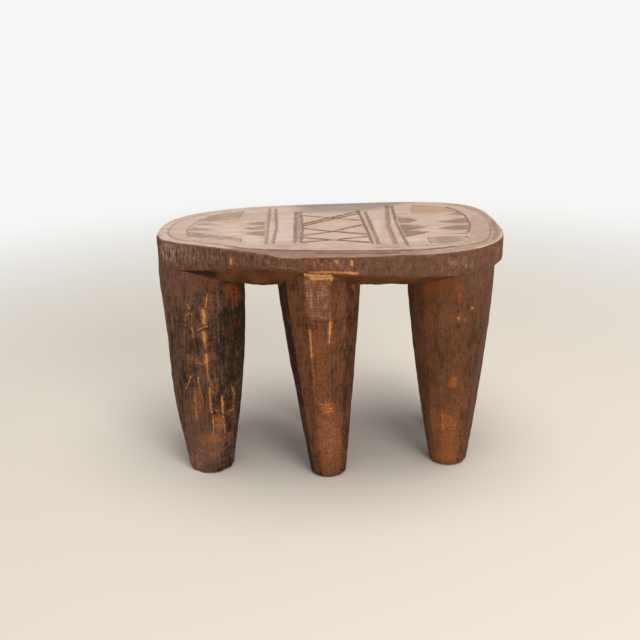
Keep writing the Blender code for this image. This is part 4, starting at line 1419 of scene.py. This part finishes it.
def grain(tree, stretch, blotch):
    return put(tree, "ShaderNodeGroup", {"node_tree": grain_group}, Stretch=stretch, Blotch=blotch).outputs


def broken(tree, amount, size, breaking, soft=0.5):
    sockets = {"Amount": amount, "Size": size, "Break": breaking, "Soft": soft}
    return put(tree, "ShaderNodeGroup", {"node_tree": wear_group}, **sockets).outputs["Mask"]


print("node groups:", grain_group.name, "and", wear_group.name)

# %% [markdown]
# ## The rim's wood
# Rim and upper legs show the same dark side wood, with short upright fibres, mottled by handling,
# dusty at the left end, rubbed orange over the front leg and calmer on the right half. The legs
# that run flush into the rim need it too, so it is a function that adds its nodes to any material.

# %% Side wood
RIM_DARK = (0.090, 0.039, 0.022)
RIM_BROWN = (0.245, 0.114, 0.068)
RIM_DUST = (0.42, 0.265, 0.185)
RUBBED = (0.36, 0.098, 0.024)
BARE_PALE = (0.70, 0.325, 0.120)
BARE_ORANGE = (0.47, 0.170, 0.050)
CALM_FROM_TO = (-0.03, 0.06)
CALM_SHARE = 0.38


def new_material(name, roughness):
    material = bpy.data.materials.new(name)
    material.use_nodes = True
    shader = material.node_tree.nodes["Principled BSDF"]
    shader.inputs["Roughness"].default_value = roughness
    shader.inputs["Specular IOR Level"].default_value = 0.14
    return material, material.node_tree, shader


def side_wood(tree, dust):
    """The rim's colour and the height of its fibres."""
    fibres = grain(tree, (430.0, 430.0, 90.0), 300.0)
    mottle = grain(tree, (240.0, 240.0, 170.0), 45.0)
    light = scaled(tree, fibres["Streaks"], 0.42)
    light = reckon(tree, 'ADD', light, scaled(tree, mottle["Streaks"], 0.36))
    light = reckon(tree, 'ADD', light, scaled(tree, fibres["Blotches"], 0.22))
    place = put(tree, "ShaderNodeTexCoord").outputs["Object"]
    across = put(tree, "ShaderNodeSeparateXYZ", i0=place).outputs["X"]
    calm = scaled(tree, soft_step(tree, across, *CALM_FROM_TO), CALM_SHARE)
    light = reckon(tree, 'ADD', light, scaled(tree, reckon(tree, 'SUBTRACT', 0.5, light), calm))
    colour = mix(tree, soft_step(tree, light, 0.12, 0.84), RIM_DARK, RIM_BROWN)
    colour = coat(tree, colour, RIM_DARK, mottle["Blotches"], 0.36)
    dusty = scaled(tree, broken(tree, dust, 200.0, 0.6, 0.9), soft_step(tree, fibres["Streaks"], 0.2, 0.8))
    return mix(tree, dusty, colour, RIM_DUST), light


def bare_wood(tree, colour):
    """Bare wood over a colour, where a knock or a split laid it open."""
    tone = grain(tree, (500.0, 500.0, 120.0), 120.0)["Streaks"]
    fresh = mix(tree, tone, BARE_ORANGE, BARE_PALE)
    return mix(tree, broken(tree, value_of(tree, "bare"), 420.0, 0.28, 0.55), colour, fresh)


def add_bump(tree, shader, height, strength, distance):
    bump = put(tree, "ShaderNodeBump", Strength=strength, Distance=distance, Height=height)
    tree.links.new(bump.outputs[0], shader.inputs["Normal"])


print("side wood and bare wood ready")

# %% [markdown]
# ## The seat's finish
# The top is bleached and handled to a pinkish tan with fine streaks along the seat, with pale
# patches and a painted highlight on the edge at the left corner. Cuts are darkened with dirt and
# painted shade, brown patches and painted shade darken parts of the top and its recesses, and a
# painted shadow lies under the rim at the left front. A strip at the back is grey, and the worn
# front strip is greyer still. One narrow band between the middle grooves is stippled with light
# dots. One material holds top, rim and underside, because the values on the mesh say which part
# is which.

# %% Paint the seat
TOP_PALE = (0.72, 0.565, 0.465)
TOP_TAN = (0.63, 0.462, 0.360)
TOP_STREAK = (0.36, 0.230, 0.165)
TOP_WHITE = (0.75, 0.625, 0.535)
# Brown for the top's darker patches and its painted shade.
TOP_SHADE_BROWN = (0.33, 0.215, 0.165)
TAN_WOOD = (0.60, 0.37, 0.24)
# The dark of the cuts, dirt with painted shade; it is also the ground between the stippled dots.
CUT_DARK = (0.165, 0.092, 0.062)
# Grey of the strip at the back of the top.
BACK_STRIP_GREY = (0.315, 0.245, 0.210)
WORN_GREY = (0.21, 0.125, 0.098)
WORN_BROWN = (0.31, 0.178, 0.122)
UNDER_DARK = (0.070, 0.025, 0.008)
UNDER_WARM = (0.155, 0.056, 0.017)
# Painted shadow under the rim at the left front.
UNDER_PAINTED_SHADOW = (0.030, 0.012, 0.006)
DOT_SPACING = 300.0


def top_wood(tree):
    fine = grain(tree, (45.0, 480.0, 200.0), 16.0)
    broad = grain(tree, (9.0, 105.0, 60.0), 90.0)
    colour = mix(tree, fine["Blotches"], TOP_TAN, TOP_PALE)
    # Pale wood, and a painted highlight on the edge at the left corner.
    colour = coat(tree, colour, TOP_WHITE, broken(tree, value_of(tree, "pale_and_highlight"), 70.0, 0.25), 0.65)
    # Darker brown patches and painted shade on the top.
    colour = coat(tree, colour, TOP_SHADE_BROWN, broken(tree, value_of(tree, "painted_shade_and_brown"), 60.0, 0.25), 0.6)
    colour = coat(tree, colour, TAN_WOOD, value_of(tree, "tan"), 0.8)
    for streaks, share in ((fine["Streaks"], 0.34), (broad["Streaks"], 0.36), (fine["Pores"], 0.30)):
        colour = coat(tree, colour, TOP_STREAK, streaks, share)
    colour = coat(tree, colour, BACK_STRIP_GREY, value_of(tree, "grey"), 0.82)
    strip = mix(tree, broad["Blotches"], WORN_GREY, WORN_BROWN)
    colour = coat(tree, colour, strip, broken(tree, value_of(tree, "worn"), 90.0, 0.12), 0.85)
    cut = value_of(tree, "cut_dirt_and_shade")
    uneven = reckon(tree, 'ADD', scaled(tree, fine["Streaks"], 0.5), 0.5)
    # Cuts darkened with dirt and painted shade.
    colour = mix(tree, scaled(tree, cut, uneven), colour, CUT_DARK)
    place = put(tree, "ShaderNodeTexCoord").outputs["Object"]
    dots = put(tree, "ShaderNodeTexVoronoi", Vector=place, Scale=DOT_SPACING).outputs["Distance"]
    dotted = mix(tree, soft_step(tree, dots, 0.28, 0.40), TOP_WHITE, CUT_DARK)
    colour = mix(tree, scaled(tree, value_of(tree, "stipple"), 0.55), colour, dotted)
    return colour, fine["Streaks"]


def seat_finish():
    material, tree, shader = new_material("seat_wood_finish", 0.74)
    top, top_height = top_wood(tree)
    side, side_height = side_wood(tree, value_of(tree, "dust"))
    side = coat(tree, side, RUBBED, broken(tree, value_of(tree, "rub"), 260.0, 0.5, 0.9), 0.65)
    below = mix(tree, grain(tree, (60.0, 60.0, 60.0), 55.0)["Blotches"], UNDER_DARK, UNDER_WARM)
    # Painted shadow on the underside under the rim's left front.
    below = mix(tree, value_of(tree, "painted_shade_and_brown"), below, UNDER_PAINTED_SHADOW)
    part = value_of(tree, "rim")
    edge = broken(tree, soft_step(tree, part, 0.0, 0.6), 190.0, 0.14)
    colour = mix(tree, edge, top, side)
    lip = scaled(tree, soft_step(tree, part, 0.05, 0.25), soft_step(tree, part, 0.9, 0.5))
    colour = coat(tree, colour, BARE_ORANGE, broken(tree, scaled(tree, lip, 0.4), 120.0, 0.6), 0.4)
    colour = mix(tree, soft_step(tree, part, 1.02, 1.3), colour, below)
    tree.links.new(bare_wood(tree, colour), shader.inputs["Base Color"])
    add_bump(tree, shader, mix(tree, soft_step(tree, part, 0.3, 0.9), top_height, side_height), 0.4, 0.0007)
    return material


carved_seat.data.materials.append(seat_finish())
print("seat painted")

# %% [markdown]
# ## The legs' finish
# The legs are dark with handling: near black on the left leg, red-brown on the others, and redder
# towards the feet where they were scuffed. Each facet's tone is partly painted shade and partly the
# wood's own darkness, and light patches lift it, at the left leg's top as painted light. Upright
# fibres and blotches push that tone up and down, and level rasp lines do so on its lighter parts. A
# dark, a middle and a light brown are mixed by that tone. Soot, rust, rubbed wood, worn arrises and
# splits go over it. One function paints every leg, with its own colours and contrast.

# %% Paint the legs
LegPaint = namedtuple("LegPaint", "dark middle light arris_wear contrast")
LEFT_PAINT = LegPaint((0.025, 0.012, 0.007), (0.150, 0.072, 0.041), (0.34, 0.165, 0.098), 0.20, 1.1)
FRONT_PAINT = LegPaint((0.038, 0.015, 0.007), (0.184, 0.066, 0.028), (0.41, 0.215, 0.135), 0.30, 0.88)
RIGHT_PAINT = LegPaint((0.050, 0.020, 0.009), (0.185, 0.070, 0.029), (0.38, 0.150, 0.070), 0.18, 0.68)
PAINTS = {"left": LEFT_PAINT, "centre": FRONT_PAINT, "right": RIGHT_PAINT}
SOOT = (0.022, 0.011, 0.007)
RUST = (0.205, 0.050, 0.009)


def leg_tone(tree, contrast):
    """The facet's tone, partly painted shade, pushed by fibres, rasp lines, blotches and light patches; the
    height; and thin slivers.
    """
    fibres = grain(tree, (430.0, 430.0, 34.0), 38.0)
    rasp = grain(tree, (80.0, 80.0, 700.0), 330.0)
    patches = grain(tree, (70.0, 70.0, 22.0), 120.0)
    # The light patches lift the tone; at the left leg's top they are painted light.
    light = value_of(tree, "light")
    rasped = reckon(tree, 'ADD', scaled(tree, light, 0.6), 0.09)
    tone = reckon(tree, 'ADD', value_of(tree, "tone"), light)
    tone = reckon(tree, 'SUBTRACT', tone, scaled(tree, value_of(tree, "soot"), 0.25))
    tone = reckon(tree, 'ADD', tone, scaled(tree, reckon(tree, 'SUBTRACT', rasp["Streaks"], 0.5), rasped))
    for layer, amount in ((fibres["Streaks"], 0.38), (fibres["Blotches"], 0.18), (rasp["Blotches"], 0.24),
                          (patches["Streaks"], 0.14), (patches["Blotches"], 0.16)):
        push = scaled(tree, reckon(tree, 'SUBTRACT', layer, 0.5), amount * contrast)
        tone = reckon(tree, 'ADD', tone, push)
    height = reckon(tree, 'ADD', scaled(tree, fibres["Streaks"], 0.6), scaled(tree, rasp["Streaks"], 0.4))
    return tone, height, fibres["Pores"]


def leg_finish(name, paint):
    material, tree, shader = new_material(name, 0.62)
    tone, height, slivers = leg_tone(tree, paint.contrast)
    colour = mix(tree, soft_step(tree, tone, -0.05, 0.5), paint.dark, paint.middle)
    colour = mix(tree, soft_step(tree, tone, 0.5, 1.1), colour, paint.light)
    soot = value_of(tree, "soot")
    black = scaled(tree, broken(tree, soot, 160.0, 0.5, 0.8), soft_step(tree, soot, 0.2, 0.6))
    colour = coat(tree, colour, SOOT, black, 0.85)
    rust = broken(tree, value_of(tree, "rust"), 150.0, 0.5, 0.8)
    colour = coat(tree, colour, RUST, scaled(tree, rust, soft_step(tree, tone, -0.1, 0.3)), 0.9)
    rub = value_of(tree, "rub")
    colour = coat(tree, colour, RUBBED, broken(tree, rub, 300.0, 0.6, 0.9), 0.7)
    sparks = broken(tree, scaled(tree, rub, 0.55), 520.0, 0.75, 0.5)
    colour = coat(tree, colour, BARE_ORANGE, sparks, 0.6)
    slivers = scaled(tree, slivers, soft_step(tree, rub, 0.25, 0.8))
    colour = coat(tree, colour, BARE_ORANGE, slivers, 0.55)
    side, _ = side_wood(tree, value_of(tree, "dust"))
    colour = coat(tree, colour, side, value_of(tree, "flush"), 0.85)
    arris = scaled(tree, value_of(tree, "arris"), paint.arris_wear)
    colour = coat(tree, colour, BARE_ORANGE, broken(tree, arris, 110.0, 0.5), 0.6)
    tree.links.new(bare_wood(tree, colour), shader.inputs["Base Color"])
    add_bump(tree, shader, height, 0.35, 0.0007)
    return material


for node, leg in legs.items():
    leg.data.materials.append(leg_finish(leg.name + "_finish", PAINTS[node.rsplit("_", 1)[1]]))
print("legs painted:", len(legs))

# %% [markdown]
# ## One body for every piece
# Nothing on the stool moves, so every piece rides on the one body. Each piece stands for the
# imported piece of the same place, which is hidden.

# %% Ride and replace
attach(carved_seat, "root")
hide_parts("seat")
for node, leg in legs.items():
    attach(leg, "root")
    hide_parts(node)
